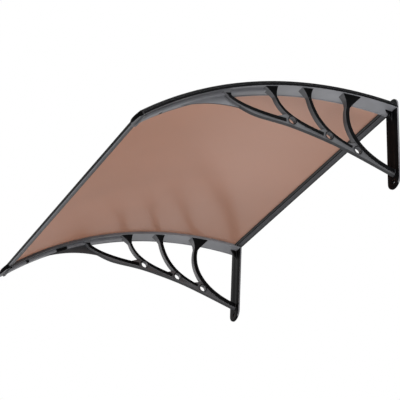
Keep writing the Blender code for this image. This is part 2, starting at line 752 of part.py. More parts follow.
def build_rails():
    """Rear rail, front rail, their gaskets and the seal between the rear rail and the wall."""
    rear_edge, front_edge = sheet_ends()
    ends = (-RAIL_HALF_LENGTH, RAIL_HALF_LENGTH)
    for place, edge, inward in (("rear", rear_edge, 1), ("front", front_edge, -1)):
        outline, outer_face = rail_outline(edge, inward)
        smooth(prism(f"{place}_rail", outline, *ends, "rail"), 10.0)
        smooth(prism(f"{place}_gasket", gasket_outline(outer_face, inward), *ends, "rubber"), 10.0)
    build_wall_seal(ends)


def rear_rail_face():
    """Angle of the rear rail's back face."""
    return sheet_ends()[0] - (FIT + RAIL_WALL) / ROOF_RADIUS


def wall_seal_top():
    """Upper corner (y, z) of the rear rail's back face that the wall seal covers."""
    return roof_point(COVER_THICKNESS, rear_rail_face())


def wall_seal_middle():
    """Height of the middle of the wall seal."""
    return wall_seal_top()[1] - WALL_SEAL_HEIGHT / 2


def build_wall_seal(ends):
    """Rubber strip on the back of the rear rail, flat against the wall."""
    y, z = wall_seal_top()
    slope = math.tan(rear_rail_face())
    lower_z = z - WALL_SEAL_HEIGHT
    outline = [(0.0, z), (y + FIT, z), (y + FIT + WALL_SEAL_HEIGHT * slope, lower_z), (0.0, lower_z)]
    prism("wall_seal", outline, *ends, "rubber")


def build_screws():
    """Pan head screws that go through cover strip and sheet into the flange."""
    shank = SCREW_SHANK_DIAMETER / 2
    head = SCREW_HEAD_DIAMETER / 2
    crown = SCREW_HEAD_HEIGHT
    profile = (
        (0, -SCREW_TIP_DEPTH),
        (shank * 0.5, -SCREW_TIP_DEPTH),
        (shank, -SCREW_TIP_DEPTH + shank),
        (shank, FIT),
        (head, FIT),
        (head, FIT + crown * 0.45),
        (head * 0.82, FIT + crown * 0.85),
        (head * 0.45, FIT + crown),
        (0, FIT + crown),
    )
    for side, outward in SIDES:
        middle = outward * BRACKET_SPACING / 2
        for number, share in enumerate(SCREW_STATIONS, 1):
            placing = along_roof_normal(middle, roof_angle(station(share)))
            smooth(turned(f"cover_screw_{side}_{number}", profile, SMALL_ROUND_FACETS, placing, "screw"))


def build_pins():
    """Round pin in the outer side of each nose."""
    shaft = PIN_SHAFT_DIAMETER / 2
    head = PIN_HEAD_DIAMETER / 2
    profile = (
        (0, 0),
        (head, 0),
        (head, PIN_HEAD_HEIGHT),
        (shaft, PIN_HEAD_HEIGHT),
        (shaft, PIN_LENGTH),
        (0, PIN_LENGTH),
    )
    y, z = pin_centre()
    for side, outward in SIDES:
        placing = along_x(outward * (BRACKET_SPACING / 2 + HALF_WIDTH), y, z, -outward)
        smooth(turned(f"nose_pin_{side}", profile, ROUND_FACETS, placing, "pin"))


def build_awning():
    """All pieces of the awning."""
    clear_scene()
    for side, outward in SIDES:
        build_bracket(side, outward)
        build_cover_strip(side, outward)
    build_sheet()
    build_rails()
    build_screws()
    build_pins()


build_awning()
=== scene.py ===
"""Looks of the door awning, on a plain light stage.

Until finished() turns a piece into the frame's metres, sizes are in millimetres and heights count from the
wall plates' lowest point. The wall is the plane Y = 0 and the awning stands out toward -Y.
"""

import bmesh
import bpy
from math import asin, ceil, cos, hypot, pi, radians, sin, sqrt, tan, tau
from mathutils import Matrix, Vector


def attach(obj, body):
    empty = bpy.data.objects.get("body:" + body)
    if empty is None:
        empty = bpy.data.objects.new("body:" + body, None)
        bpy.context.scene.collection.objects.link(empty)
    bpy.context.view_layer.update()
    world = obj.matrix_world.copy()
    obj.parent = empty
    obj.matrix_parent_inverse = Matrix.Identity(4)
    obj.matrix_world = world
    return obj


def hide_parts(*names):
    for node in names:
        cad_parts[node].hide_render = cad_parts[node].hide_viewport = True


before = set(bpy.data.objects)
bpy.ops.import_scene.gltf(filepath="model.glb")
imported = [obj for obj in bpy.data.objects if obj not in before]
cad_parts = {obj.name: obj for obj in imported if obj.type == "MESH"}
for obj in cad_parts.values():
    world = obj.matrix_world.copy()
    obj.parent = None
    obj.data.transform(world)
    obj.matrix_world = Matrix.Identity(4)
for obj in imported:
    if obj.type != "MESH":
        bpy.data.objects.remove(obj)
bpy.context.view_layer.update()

# Whole awning
MM = 0.001
BRACKET_SPACING = 942.0
BRACKET_WIDTH = 58.0
PROJECTION = 802.5
FIT = 0.3
SIDES = (("left", -1), ("right", 1))

# Roof curve, an arc in the side view with its crest before the wall. Depths go inward from its top
ROOF_DROP = 310.1
ROOF_CREST_BEFORE_WALL = 12.0
ROOF_STEP = radians(0.75)
COVER_THICKNESS = 3.2
SHEET_THICKNESS = 3.0
FLANGE_THICKNESS = 6.2
SHEET_WALL_GAP = 8.0
SHEET_FRONT_GAP = 4.0

# Fine lines of the sheet, about LINE_PITCH apart, as (share of the pitch, depth) corners
LINE_PITCH = 7.0
LINE_CORNERS = ((0.0, 0.0), (0.42, 0.0), (0.5, 0.22), (0.58, 0.0))

# Cover strip: (inset, depth) corners of its edges, (x, depth) corners of a groove and the grooves' place as a
# share of half its width
STRIP_INNER_EDGE = ((0.0, 1.4), (0.5, 0.6), (1.4, 0.15))
STRIP_OUTER_EDGE = ((1.6, 0.1), (0.5, 0.5), (0.0, 1.5))
STRIP_GROOVE = ((-1.2, 0.0), (-0.6, 0.5), (0.6, 0.5), (1.2, 0.0))
STRIP_GROOVE_PLACE = 0.62
COVER_SIDE_LIP = 3.0
COVER_LIP_SOFT = 0.5
COVER_POST_GAP = 0.5

# Rim along both edges of the flange's underside
RIM_HEIGHT = 1.3
RIM_WIDTH = 2.6
RIM_SOFT = 0.6
FLANGE_INTO_NOSE = 2.0

# Wall plate of a bracket
POST_HEIGHT = 301.4
POST_THICKNESS = 6.0
POST_ABOVE_ROOF = 27.7
WALL_HOLE_DIAMETER = 7.0
WALL_HOLE_HEAD_DIAMETER = 14.0
LOWER_WALL_HOLE_HEIGHT = 21.6
UPPER_WALL_HOLE_BELOW_TOP = 16.0
GUSSET_LENGTH = 29.0
GUSSET_HEIGHT = 38.0

# Eyes at the chord's joints, by station and level. A station is a share of the projection, and a level is a
# share of the roof's height over the foot there
EYES = {"front": (0.4222, 0.4747), "middle": (0.2737, 0.3854), "rear": (0.1580, 0.3043)}
EYE_OUTER_DIAMETER = 28.4
EYE_HOLE_DIAMETER = 21.0
EYE_PROUD = 0.4
EYE_SOFT = 0.9

# Chord under the eyes, by station and level
CHORD_AT_POST = (POST_THICKNESS / 2 / PROJECTION, 0.1827)
CHORD_BOTTOM_AT_POST = (POST_THICKNESS / 2 / PROJECTION, 0.1388)
BELLY_BELOW_EYE = 15.4
BELLY_FRONT = (0.623, 0.5926)
BELLY_LOW = (0.555, 0.4685)

# Bars, which are the struts without their flares: station of the top, the eye before which a bar ends and how
# far above its centre (the rear one ends at the wall plate), two bending handles in shares of its run and
# fall, and its thickness at top, middle and foot
BAR_WEST = -6.0
BAR_EAST = 10.0
BAR_ROUNDING = 1.7
BAR_TOPS = {"front": 0.682, "second": 0.498, "third": 0.3616, "rear": 0.1814}
BAR_ENDS = {"front": ("front", -5.2), "second": ("middle", -1.6), "third": ("rear", 4.0)}
BAR_HANDLES = {
    "front": ((0.118, 0.909), (0.458, 1.202)),
    "second": ((0.066, 0.646), (0.395, 0.887)),
    "third": ((0.127, 0.641), (0.465, 0.884)),
    "rear": ((-0.318, 0.481), (0.098, 0.899)),
}
BAR_THICKNESSES = {
    "front": (13.5, 12.3, 13.5),
    "second": (8.6, 11.1, 13.3),
    "third": (11.1, 12.9, 10.1),
    "rear": (11.0, 15.9, 16.0),
}
BAR_END_BEFORE_EYE = 18.6
BAR_INTO_FLANGE = 1.5

# Web, and the stretch of each bar along which it joins that bar, in shares of the bar's length
WEB_WEST = -4.0
WEB_EAST = 8.0
WEB_STRETCHES = {"front": (0.42, 0.86), "second": (0.50, 0.90), "third": (0.58, 0.90), "rear": (0.58, 1.0)}

# Flared strut tops: front and back station under the flange, and depth
FLARES = {
    "front": (0.705, 0.662, 15.5),
    "second": (0.549, 0.490, 24.0),
    "third": (0.400, 0.348, 25.0),
    "rear": (0.235, 0.152, 42.3),
}
FLARE_WEST = 0.0
FLARE_EAST = 26.0
FLARE_CURVE = 1.7
FLARE_START = 0.1
FLARE_ROUNDING = 1.2

# Fin, which meets the front bar along a stretch, and spine and cross ribs, which run between two stations
FIN_THICKNESS = 4.0
FIN_DEPTH_FRONT = 14.5
FIN_STRETCH = (0.10, 0.45)
FIN_CURVE = 2.4
SPINE_WIDTH = 19.0
SPINE_HEIGHT = 7.0
SPINE_ROUNDING = 1.6
CROSS_RIBS = ((0.920, 0.910), (0.803, 0.760))
CROSS_RIB_REACH = 10.0
CROSS_RIB_HEIGHT = 7.3
CROSS_RIB_ROUNDING = 1.0

# Nose and the rib behind it
NOSE_BULGE = 9.3
NOSE_DEPTH = 14.6
NOSE_ROUNDING = 3.5
NOSE_RIB_DEPTH = 19.0
NOSE_RIB_THICKNESS = 7.0
NOSE_RIB_GAP = 8.0

# Round pin across each nose: (share of the shaft's radius, depth) corners of its dimple, and (inset, depth)
# corners of its head's rim
PIN_SHAFT_DIAMETER = 6.0
PIN_HEAD_DIAMETER = 8.8
PIN_HEAD_HEIGHT = 2.5
PIN_LENGTH = 16.0
PIN_DEPTH = 13.0
PIN_SOFT = 0.6
PIN_DIMPLE = ((0.0, 0.7), (0.6, 0.5), (0.8, 0.1), (1.0, 0.0))
PIN_RIM = ((0.6, 0.0), (0.15, 0.2), (0.0, 0.6))
PIN_BOSS_DIAMETER = 12.4
PIN_BOSS_SOFT = 0.5
PIN_HOLE_SOFT = 0.4

# Rails along the rear and front edge of the sheet: (share of the lip, height over its underside) corners of
# the lower lip, and the line along the face
RAIL_WALL = 3.0
RAIL_LIP = 2.8
RAIL_UPPER_LIP_LENGTH = 26.0
RAIL_LOWER_LIP_LENGTH = 14.0
RAIL_LOWER_LIP = ((1.0, 0.7), (0.97, 0.0), (0.60, 0.0), (0.55, 0.9), (0.45, 0.9), (0.40, 0.0))
RAIL_SOFT = 0.7
RAIL_TOP_CORNER = (0.2, 0.3)
RAIL_LINE_BELOW_TOP = 7.0
RAIL_LINE = ((0.3, 0.0), (0.0, 1.0), (-0.3, 0.0))
RAIL_END_GAP = 0.5

# Rubber strips under the sheet's edges, each with a bead
GASKET_THICKNESS = 1.4
GASKET_INSIDE_RAIL = 8.5
BEAD_GAP = 2.5
BEAD_WIDTH = 6.0
BEAD_DEPTH = 3.8
BEAD_SHOULDER = 0.45

# Rubber strip on the wall, with lips that have (y, share of a lip's height) corners
WALL_SEAL_HEIGHT = 8.0
SEAL_LIPS = 3
SEAL_LIP = ((-0.6, 0.0), (0.0, 0.25), (0.0, 0.6), (-1.3, 0.9))

# Screws that hold a cover strip, and their slot's half length, half width and height, above and at its foot
SCREW_STATIONS = (0.950, 0.686, 0.508, 0.367, 0.192, 0.063)
SCREW_SHANK_DIAMETER = 4.0
SCREW_HEAD_DIAMETER = 9.0
SCREW_HEAD_HEIGHT = 2.4
SCREW_HEAD_SIDE = 0.5
SCREW_HEAD_SOFT = 0.3
SCREW_CROWN_CURVE = 0.8
SCREW_TIP_DEPTH = 12.1
SCREW_SLOT = ((2.5, 0.75, SCREW_HEAD_HEIGHT + 0.5), (0.9, 0.5, 0.5))

# How far a joined solid stays inside a flush face, how far a cutter runs past a face, how far in the middle
# of a soft corner lies as a share of its width, and the distance under which two corners are one
FLUSH_INSET = 0.2
CUT_OVERRUN = 1.0
CORNER_SHARE = 0.3
SAME_PLACE = 0.0005

# How many steps a curve is made of
BAR_STEPS = 44
BELLY_STEPS = 9
STRETCH_STEPS = 14
LEVEL_STEPS = 80
NOSE_STEPS = 28
ARC_STEPS = 8
CORNER_STEPS = 3
ROUND_FACETS = 48
SCREW_FACETS = 32

# Least share of a normal along an axis when its face counts as looking that way
SIDEWAYS = 0.75
SQUARE_TO_SHEET = 0.9
NOSE_UPPER = -0.45

# Finishes of the brackets' black plastic: two greys, range of roughness, specular level, strength of the
# grain, how pale a painted highlight makes the edges and two lighter greys near the wall that paint a sheen.
# The pale finish is a lighter copy of the plastic that paints light on faces that look lit, and the finish
# after it a darker copy that paints shade
FINISHES = {
    "polished": ((0.003, 0.006), (0.29, 0.38), 0.02, 0.06, 0.7),
    "satin": ((0.030, 0.042), (0.29, 0.40), 0.40, 0.12, 0.0, (0.180, 0.212)),
    "grained": ((0.062, 0.086), (0.48, 0.60), 0.45, 0.25),
    "pale": ((0.125, 0.160), (0.44, 0.56), 0.45, 0.25),
    "shaded": ((0.026, 0.038), (0.50, 0.62), 0.40, 0.25),
    "matt": ((0.002, 0.004), (0.50, 0.60), 0.01, 0.20),
}
# Painted highlight along edges: radius and samples of the Bevel node that finds them, and the grey painted
# there
EDGE_RADIUS = 0.0014
EDGE_SAMPLES = 6
EDGE_HIGHLIGHT_GREY = 0.20

# Anodised aluminium: darker and lighter grey, metallic and specular level
METALS = {"black": (0.005, 0.008, 0.1, 0.03), "grey": (0.065, 0.085, 0.7, 0.2)}

# Photograph's view: lens in pixels of the picture, turns in radians, place in metres
PICTURE_WIDTH = 400.0
SENSOR_WIDTH = 36.0
LENS_PIXELS = 1577.8907
CAMERA_HEADING = 1.1201787
CAMERA_PITCH = 0.5531343
CAMERA_ROLL = 0.0481471
CAMERA_PLACE = (3.5864509, -2.1117547, -2.6333124)
CAMERA_REACH = 100.0

# Light of the surroundings except to camera, gloss and transmission, and the floor with the glow that the
# camera alone sees
SOFT_LIGHT = 0.3
FLOOR_REACH = 40.0
FLOOR_HEIGHT = -5.6
FLOOR_GREY = 0.85
FLOOR_ROUGHNESS = 0.9
FLOOR_GLOW = 0.45
WHITE = (1.0, 1.0, 1.0, 1.0)

# Lamps: place and aim in metres, width in metres and power in watts
AWNING_MIDDLE = (0.0, -0.4, -0.1)
LAMPS = {
    "sky": ((0.0, -0.5, 4.0), AWNING_MIDDLE, 4.0, 60.0),
    "right_key": ((3.6, -0.8, 2.5), AWNING_MIDDLE, 2.0, 120.0),
    "under_fill": ((2.9, -0.9, -3.6), AWNING_MIDDLE, 3.0, 117.0),
    "near_fill": ((1.2, 0.2, -1.6), (0.35, -0.55, -0.1), 0.8, 6.0),
    "under_sheen": ((-2.5, 2.1, -1.3), AWNING_MIDDLE, 1.6, 8.0),
    "front_fill": ((-2.8, -3.1, -0.9), AWNING_MIDDLE, 2.8, 80.0),
}

# What follows from the values above
SHEET_DEPTH = COVER_THICKNESS + FIT
FLANGE_DEPTH = SHEET_DEPTH + SHEET_THICKNESS + FIT
FLANGE_MIDDLE = FLANGE_DEPTH + FLANGE_THICKNESS / 2
FLANGE_BOTTOM = FLANGE_DEPTH + FLANGE_THICKNESS
HALF_WIDTH = BRACKET_WIDTH / 2
ROOF_AT_WALL = POST_HEIGHT - POST_ABOVE_ROOF
ROOF_RUN = PROJECTION - ROOF_CREST_BEFORE_WALL
ROOF_RADIUS = (ROOF_RUN**2 + ROOF_DROP**2) / (2 * ROOF_DROP)
ROOF_CENTRE_HEIGHT = ROOF_AT_WALL - sqrt(ROOF_RADIUS**2 - ROOF_CREST_BEFORE_WALL**2)
RAIL_REACH = BRACKET_SPACING / 2 - HALF_WIDTH - RAIL_END_GAP
RAIL_ENDS = (-RAIL_REACH, RAIL_REACH)
RIB_DISTANCE = PROJECTION - NOSE_RIB_GAP
RIB_MIDDLE_DISTANCE = RIB_DISTANCE - NOSE_RIB_THICKNESS / 2
SPINE_STATIONS = (RIB_MIDDLE_DISTANCE / PROJECTION, 0.53)
PIN_BOSS_LENGTH = PIN_LENGTH + RAIL_WALL


# The roof's curve

def roof_angle(distance, depth=0.0):
    """Angle from the vertical of the arc of this depth at a distance from the wall."""
    return asin((distance - ROOF_CREST_BEFORE_WALL) / (ROOF_RADIUS - depth))


def roof_point(depth, angle):
    """Point (y, z) of the arc of this depth."""
    radius = ROOF_RADIUS - depth
    return (-ROOF_CREST_BEFORE_WALL - radius * sin(angle), ROOF_CENTRE_HEIGHT + radius * cos(angle))


def mixed(start, end, share):
    """Number between two numbers."""
    return start + (end - start) * share


def shares(steps, start=0.0, end=1.0):
    """Even steps from one number to another, both ends included."""
    return [mixed(start, end, k / steps) for k in range(steps + 1)]


def steps_between(start, end):
    """How many steps an arc from one angle to another is made of."""
    return max(1, ceil(abs(end - start) / ROOF_STEP))


def roof_arc(depth, start, end):
    """Points of the arc of this depth from one angle to another."""
    return [roof_point(depth, angle) for angle in shares(steps_between(start, end), start, end)]


def sheet_ends():
    """Angles of the sheet's rear and front edge."""
    return roof_angle(SHEET_WALL_GAP, SHEET_DEPTH), roof_angle(PROJECTION - SHEET_FRONT_GAP, SHEET_DEPTH)


def station_angle(station, depth=0.0):
    """Angle of the arc of this depth at a share of the projection."""
    return roof_angle(station * PROJECTION, depth)


def under_roof(station, level):
    """Point (y, z) at a share of the projection and a share of the roof's height over the foot."""
    return (-station * PROJECTION, roof_point(0.0, station_angle(station))[1] * level)


def wall_seal_top():
    """Upper corner (y, z) of the rear rail's back face."""
    return roof_point(COVER_THICKNESS, sheet_ends()[0] - (FIT + RAIL_WALL) / ROOF_RADIUS)


SEAL_MIDDLE = wall_seal_top()[1] - WALL_SEAL_HEIGHT / 2


# Shells: closed surfaces that finished() joins into a piece

def linked(name, data):
    """New object in the scene."""
    thing = bpy.data.objects.new(name, data)
    bpy.context.scene.collection.objects.link(thing)
    return thing


def write_clean(shape, mesh):
    """Write a bmesh to a mesh, with single corners and outward normals."""
    bmesh.ops.remove_doubles(shape, verts=shape.verts, dist=SAME_PLACE)
    bmesh.ops.recalc_face_normals(shape, faces=shape.faces)
    shape.to_mesh(mesh)
    shape.free()


def shell(shape):
    """Mesh object of a bmesh."""
    mesh = bpy.data.meshes.new("shell")
    write_clean(shape, mesh)
    return linked("shell", mesh)


def loft(sections):
    """Shell through equal rings of points, closed at both ends."""
    shape = bmesh.new()
    rings = [[shape.verts.new(point) for point in section] for section in sections]
    count = len(rings[0])
    for ring, following in zip(rings, rings[1:]):
        for k in range(count):
            after = (k + 1) % count
            shape.faces.new((ring[k], ring[after], following[after], following[k]))
    shape.faces.new(list(reversed(rings[0])))
    shape.faces.new(rings[-1])
    return shell(shape)


def prism(outline, west, east):
    """Shell with an outline in the side view, from one X to another."""
    return loft([[(x, y, z) for y, z in outline] for x in (west, east)])


def turned(profile, placing, facets=ROUND_FACETS):
    """Shell of revolution of (radius, height) corners, which end on its axis or where they began."""
    shape = bmesh.new()
    closed = profile[0] == profile[-1]
    corners = [shape.verts.new((radius, 0, height)) for radius, height in profile[:-1 if closed else None]]
    ends = corners[1:] + (corners[:1] if closed else [])
    edges = [shape.edges.new(pair) for pair in zip(corners, ends)]
    turn = {"axis": (0, 0, 1), "cent": (0, 0, 0), "angle": tau, "steps": facets}
    bmesh.ops.spin(shape, geom=corners + edges, use_duplicate=False, **turn)
    bmesh.ops.transform(shape, matrix=placing, verts=shape.verts)
    return shell(shape)


def along_x(x, y, z, toward=1):
    """Placing of a turned shell whose axis runs along X, toward +X or -X."""
    return Matrix.Translation((x, y, z)) @ Matrix.Rotation(toward * pi / 2, 4, "Y")


def rounded_box(west, east, low, high, rounding):
    """Corners of a rectangle with round corners, anticlockwise."""
    corners = []
    right, left, top, bottom = east - rounding, west + rounding, high - rounding, low + rounding
    for quarter, (u, v) in enumerate(((right, top), (left, top), (left, bottom), (right, bottom))):
        for turn in shares(CORNER_STEPS, quarter, quarter + 1):
            angle = pi / 2 * turn
            corners.append((u + rounding * cos(angle), v + rounding * sin(angle)))
    return corners


def rectangle(reach, width, height):
    """Corners of a level rectangle over the origin, by its half length and half width."""
    return [(x * reach, y * width, height) for x, y in ((-1, -1), (1, -1), (1, 1), (-1, 1))]


def set_up(thing, settings):
    """Give a node or modifier its settings."""
    for name, value in settings.items():
        setattr(thing, name, value)


def apply_modifiers(thing):
    """Replace a shell's mesh by what its modifiers make of it."""
    graph = bpy.context.evaluated_depsgraph_get()
    mesh = bpy.data.meshes.new_from_object(thing.evaluated_get(graph))
    old = thing.data
    thing.modifiers.clear()
    thing.data = mesh
    bpy.data.meshes.remove(old)
    return thing


def cut(thing, tools):
    """Take other shells out of a shell."""
    for tool in tools:
        step = thing.modifiers.new("cut", "BOOLEAN")
        set_up(step, {"operation": "DIFFERENCE", "solver": "EXACT", "object": tool})
    return apply_modifiers(thing)


def soften(thing, width, degrees=35.0, segments=2):
    """Round the edges of a shell that are sharper than an angle."""
    step = thing.modifiers.new("soft edges", "BEVEL")
    set_up(step, {"width": width, "segments": segments, "limit_method": "ANGLE"})
    step.angle_limit = radians(degrees)
    return apply_modifiers(thing)


def remove(things):
    """Delete helper shells."""
    for thing in things:
        mesh = thing.data
        bpy.data.objects.remove(thing, do_unlink=True)
        bpy.data.meshes.remove(mesh)


# Node trees

def fill(node, values):
    """Give a node's inputs their values or links. Its outputs come back."""
    for name, value in values.items():
        if isinstance(value, bpy.types.NodeSocket):
            node.id_data.links.new(value, node.inputs[name])
        else:
            node.inputs[name].default_value = value
    return node.outputs


def add(tree, kind, values, **settings):
    """Outputs of a new node with these settings and input values or links."""
    node = tree.nodes.new(kind)
    set_up(node, settings)
    return fill(node, values)


# Geometry Nodes

# Turn from the plane of Geometry Nodes' arc to the side view, so that angles of the arc are the roof's
ARC_TO_SIDE_VIEW = Matrix(((0, 0, 1), (0, -1, 0), (1, 0, 0))).to_euler()

# Input that both trees have: the centre of the roof's arc
CENTRE = ("Vector", (0.0, -ROOF_CREST_BEFORE_WALL, ROOF_CENTRE_HEIGHT))


def new_tree(name, inputs):
    """Geometry Nodes tree and the sockets of its inputs, given as {name: (kind, value)}."""
    tree = bpy.data.node_groups.new(name, "GeometryNodeTree")
    for label, (kind, value) in inputs.items():
        socket = tree.interface.new_socket(label, in_out="INPUT", socket_type=f"NodeSocket{kind}")
        if value is not None:
            socket.default_value = value
    tree.interface.new_socket("Geometry", in_out="OUTPUT", socket_type="NodeSocketGeometry")
    return tree, add(tree, "NodeGroupInput", {})


def close_tree(tree, made, material):
    """End of a tree: real geometry with its material."""
    real = add(tree, "GeometryNodeRealizeInstances", {"Geometry": made})
    shape = add(tree, "GeometryNodeSetMaterial", {"Geometry": real["Geometry"], "Material": material})
    add(tree, "NodeGroupOutput", {"Geometry": shape["Geometry"]})
    return tree


def roof_sweep_tree():
    """Tree that sweeps a section of (-depth, -x) corners along the roof's arc."""
    inputs = {
        "Geometry": ("Geometry", None),
        "Roof Radius": ("Float", ROOF_RADIUS),
        "Roof Centre": CENTRE,
        "Start Angle": ("Float", 0.0),
        "Sweep Angle": ("Float", 1.0),
        "Points": ("Int", 60),
        "Material": ("Material", None),
    }
    tree, given = new_tree("sweep along the roof", inputs)
    section = add(tree, "GeometryNodeMeshToCurve", {"Mesh": given["Geometry"]})
    angles = {name: given[name] for name in ("Start Angle", "Sweep Angle")}
    arc = {"Resolution": given["Points"], "Radius": given["Roof Radius"], **angles}
    path = add(tree, "GeometryNodeCurveArc", arc)
    along = {"Curve": path["Curve"], "Profile Curve": section["Curve"], "Fill Caps": True}
    made = add(tree, "GeometryNodeCurveToMesh", along)
    placing = {"Geometry": made["Mesh"], "Translation": given["Roof Centre"], "Rotation": ARC_TO_SIDE_VIEW}
    placed = add(tree, "GeometryNodeTransform", placing)
    return close_tree(tree, placed["Geometry"], given["Material"])


def screw_row_tree():
    """Tree that stands a screw on each point of the roof, square to it, with its slot turned at random."""
    inputs = {
        "Geometry": ("Geometry", None),
        "Screw": ("Object", None),
        "Roof Centre": CENTRE,
        "Slot Seed": ("Int", 5),
        "Material": ("Material", None),
    }
    tree, given = new_tree("screws on the roof", inputs)
    place = add(tree, "GeometryNodeInputPosition", {})
    ends = {0: place["Position"], 1: given["Roof Centre"]}
    arm = {"Vector": add(tree, "ShaderNodeVectorMath", ends, operation="SUBTRACT")["Vector"]}
    lean = add(tree, "FunctionNodeAlignRotationToVector", arm, axis="Z", pivot_axis="X")
    draw = {3: pi, "Seed": given["Slot Seed"]}
    angle = add(tree, "FunctionNodeRandomValue", draw, data_type="FLOAT")[1]
    euler = add(tree, "ShaderNodeCombineXYZ", {"Z": angle})["Vector"]
    turn = add(tree, "FunctionNodeEulerToRotation", {"Euler": euler})
    both = {"Rotation": lean["Rotation"], "Rotate By": turn["Rotation"]}
    rotation = add(tree, "FunctionNodeRotateRotation", both, rotation_space="LOCAL")
    screw = add(tree, "GeometryNodeObjectInfo", {"Object": given["Screw"]})
    row = {"Points": given["Geometry"], "Instance": screw["Geometry"], "Rotation": rotation["Rotation"]}
    screws = add(tree, "GeometryNodeInstanceOnPoints", row)
    return close_tree(tree, screws["Instances"], given["Material"])


def grown(mesh, tree, values):
    """Shell that a tree makes of a mesh, with values for its named inputs."""
    thing = linked("shell", mesh)
    step = thing.modifiers.new(tree.name, "NODES")
    step.node_group = tree
    for socket in tree.interface.items_tree:
        if socket.name in values:
            step[socket.identifier] = values[socket.name]
    apply_modifiers(thing)
    shape = bmesh.new()
    shape.from_mesh(thing.data)
    write_clean(shape, thing.data)
    return thing


ROOF_SWEEP = roof_sweep_tree()
SCREW_ROW = screw_row_tree()


def swept(section, start, end, material):
    """Shell with a section of (x, depth) corners that follows the roof's curve."""
    count = len(section)
    mesh = bpy.data.meshes.new("section")
    edges = [(k, (k + 1) % count) for k in range(count)]
    mesh.from_pydata([(-depth, -x, 0.0) for x, depth in section], edges, [])
    points = steps_between(start, end) + 1
    values = {"Start Angle": start, "Sweep Angle": end - start, "Points": points, "Material": material}
    return grown(mesh, ROOF_SWEEP, values)


# Pieces

def across(face):
    """Whether a face looks along X."""
    return abs(face.normal.x) > SIDEWAYS


def finished(name, groups, replaced, smooth_degrees):
    """One piece of the awning, in place of CAD nodes.

    Each group is (shells, materials) or (shells, materials, choice), where choice picks a face's material.
    """
    whole = bmesh.new()
    mesh = bpy.data.meshes.new(name)
    for shells, materials, *choice in groups:
        slot = len(mesh.materials)
        for material in materials:
            mesh.materials.append(material)
        for part in shells:
            first = len(whole.faces)
            whole.from_mesh(part.data)
            whole.faces.ensure_lookup_table()
            for face in whole.faces[first:]:
                face.material_index = slot + int(choice[0](face)) if choice else slot
        remove(shells)
    bmesh.ops.translate(whole, vec=(0, 0, -SEAL_MIDDLE), verts=whole.verts)
    bmesh.ops.scale(whole, vec=(MM, MM, MM), verts=whole.verts)
    whole.to_mesh(mesh)
    whole.free()
    mesh.polygons.foreach_set("use_smooth", [True] * len(mesh.polygons))
    mesh.set_sharp_from_angle(angle=radians(smooth_degrees))
    piece = linked(name, mesh)
    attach(piece, "root")
    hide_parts(*replaced)


# Side view of a bracket

def bezier(points, share):
    """Point of a cubic curve."""
    a, b, c, d = points
    rest = 1.0 - share
    return a * rest**3 + b * (3 * share * rest**2) + c * (3 * share**2 * rest) + d * share**3


def bar_curve(name):
    """Four control points of a bar's centre line, from the flange to its end."""
    depth = FLANGE_BOTTOM - BAR_INTO_FLANGE
    top = Vector(roof_point(depth, station_angle(BAR_TOPS[name], depth)))
    if name in BAR_ENDS:
        eye, rise = BAR_ENDS[name]
        end = Vector(under_roof(*EYES[eye])) + Vector((-BAR_END_BEFORE_EYE, rise))
    else:
        end = Vector(under_roof(*CHORD_AT_POST))
    handles = [top + (end - top) * Vector(handle) for handle in BAR_HANDLES[name]]
    return (top, *handles, end)


def bar_thickness(name, share):
    """Thickness of a bar at a share of its length, from its three given values."""
    first, middle, last = BAR_THICKNESSES[name]
    rest = 1.0 - share
    swell = 2.0 * middle - (first + last) / 2.0
    return first * rest**2 + 2.0 * swell * share * rest + last * share**2


def bar_frame(points, share):
    """Point of a bar's centre line and the direction square to it, in the side view."""
    near = 0.01
    ahead = bezier(points, min(share + near, 1.0))
    behind = bezier(points, max(share - near, 0.0))
    direction = (ahead - behind).normalized()
    return bezier(points, share), Vector((-direction.y, direction.x))


def spline(points, steps):
    """Smooth line through points."""
    ends = [points[0]] + list(points) + [points[-1]]
    line = []
    for corners in zip(ends, ends[1:], ends[2:], ends[3:]):
        a, b, c, d = (Vector(corner) for corner in corners)
        for k in range(steps):
            t = k / steps
            bend = (b * 2) + (c - a) * t + (a * 2 - b * 5 + c * 4 - d) * t**2 + (b * 3 - a - c * 3 + d) * t**3
            line.append(tuple(bend * 0.5))
    line.append(tuple(points[-1]))
    return line


def belly_line():
    """Underside of the chord from its front end to the wall plate."""
    points = [under_roof(*BELLY_FRONT), under_roof(*BELLY_LOW)]
    for place in EYES.values():
        y, z = under_roof(*place)
        points.append((y, z - BELLY_BELOW_EYE))
    return spline([*points, under_roof(*CHORD_BOTTOM_AT_POST)], BELLY_STEPS)


def centre_stretch(name, start, end):
    """Stretch of a bar's centre line."""
    points = bar_curve(name)
    return [tuple(bezier(points, share)) for share in shares(STRETCH_STEPS, start, end)]


def web_outline():
    """Plate that joins the bars to each other round the eyes, down to the underside."""
    top = []
    for name, stretch in WEB_STRETCHES.items():
        top += centre_stretch(name, *stretch)
    return belly_line() + list(reversed(top))


def fin_outline():
    """Crescent plate from the nose to the front bar, between the flange and the belly."""
    rear_angle = station_angle(BAR_TOPS["front"], FLANGE_BOTTOM)
    top = roof_arc(FLANGE_MIDDLE, roof_angle(RIB_DISTANCE), rear_angle)
    rear_y, rear_z = under_roof(*BELLY_FRONT)
    rear_depth = ROOF_RADIUS - hypot(rear_y + ROOF_CREST_BEFORE_WALL, rear_z - ROOF_CENTRE_HEIGHT)
    bottom = []
    for share in shares(BAR_STEPS):
        distance = mixed(-rear_y, RIB_DISTANCE, share)
        depth = mixed(FIN_DEPTH_FRONT, rear_depth, (1.0 - share) ** FIN_CURVE)
        bottom.append(roof_point(depth, roof_angle(distance, depth)))
    return top + centre_stretch("front", *FIN_STRETCH) + bottom


# Shells of a bracket

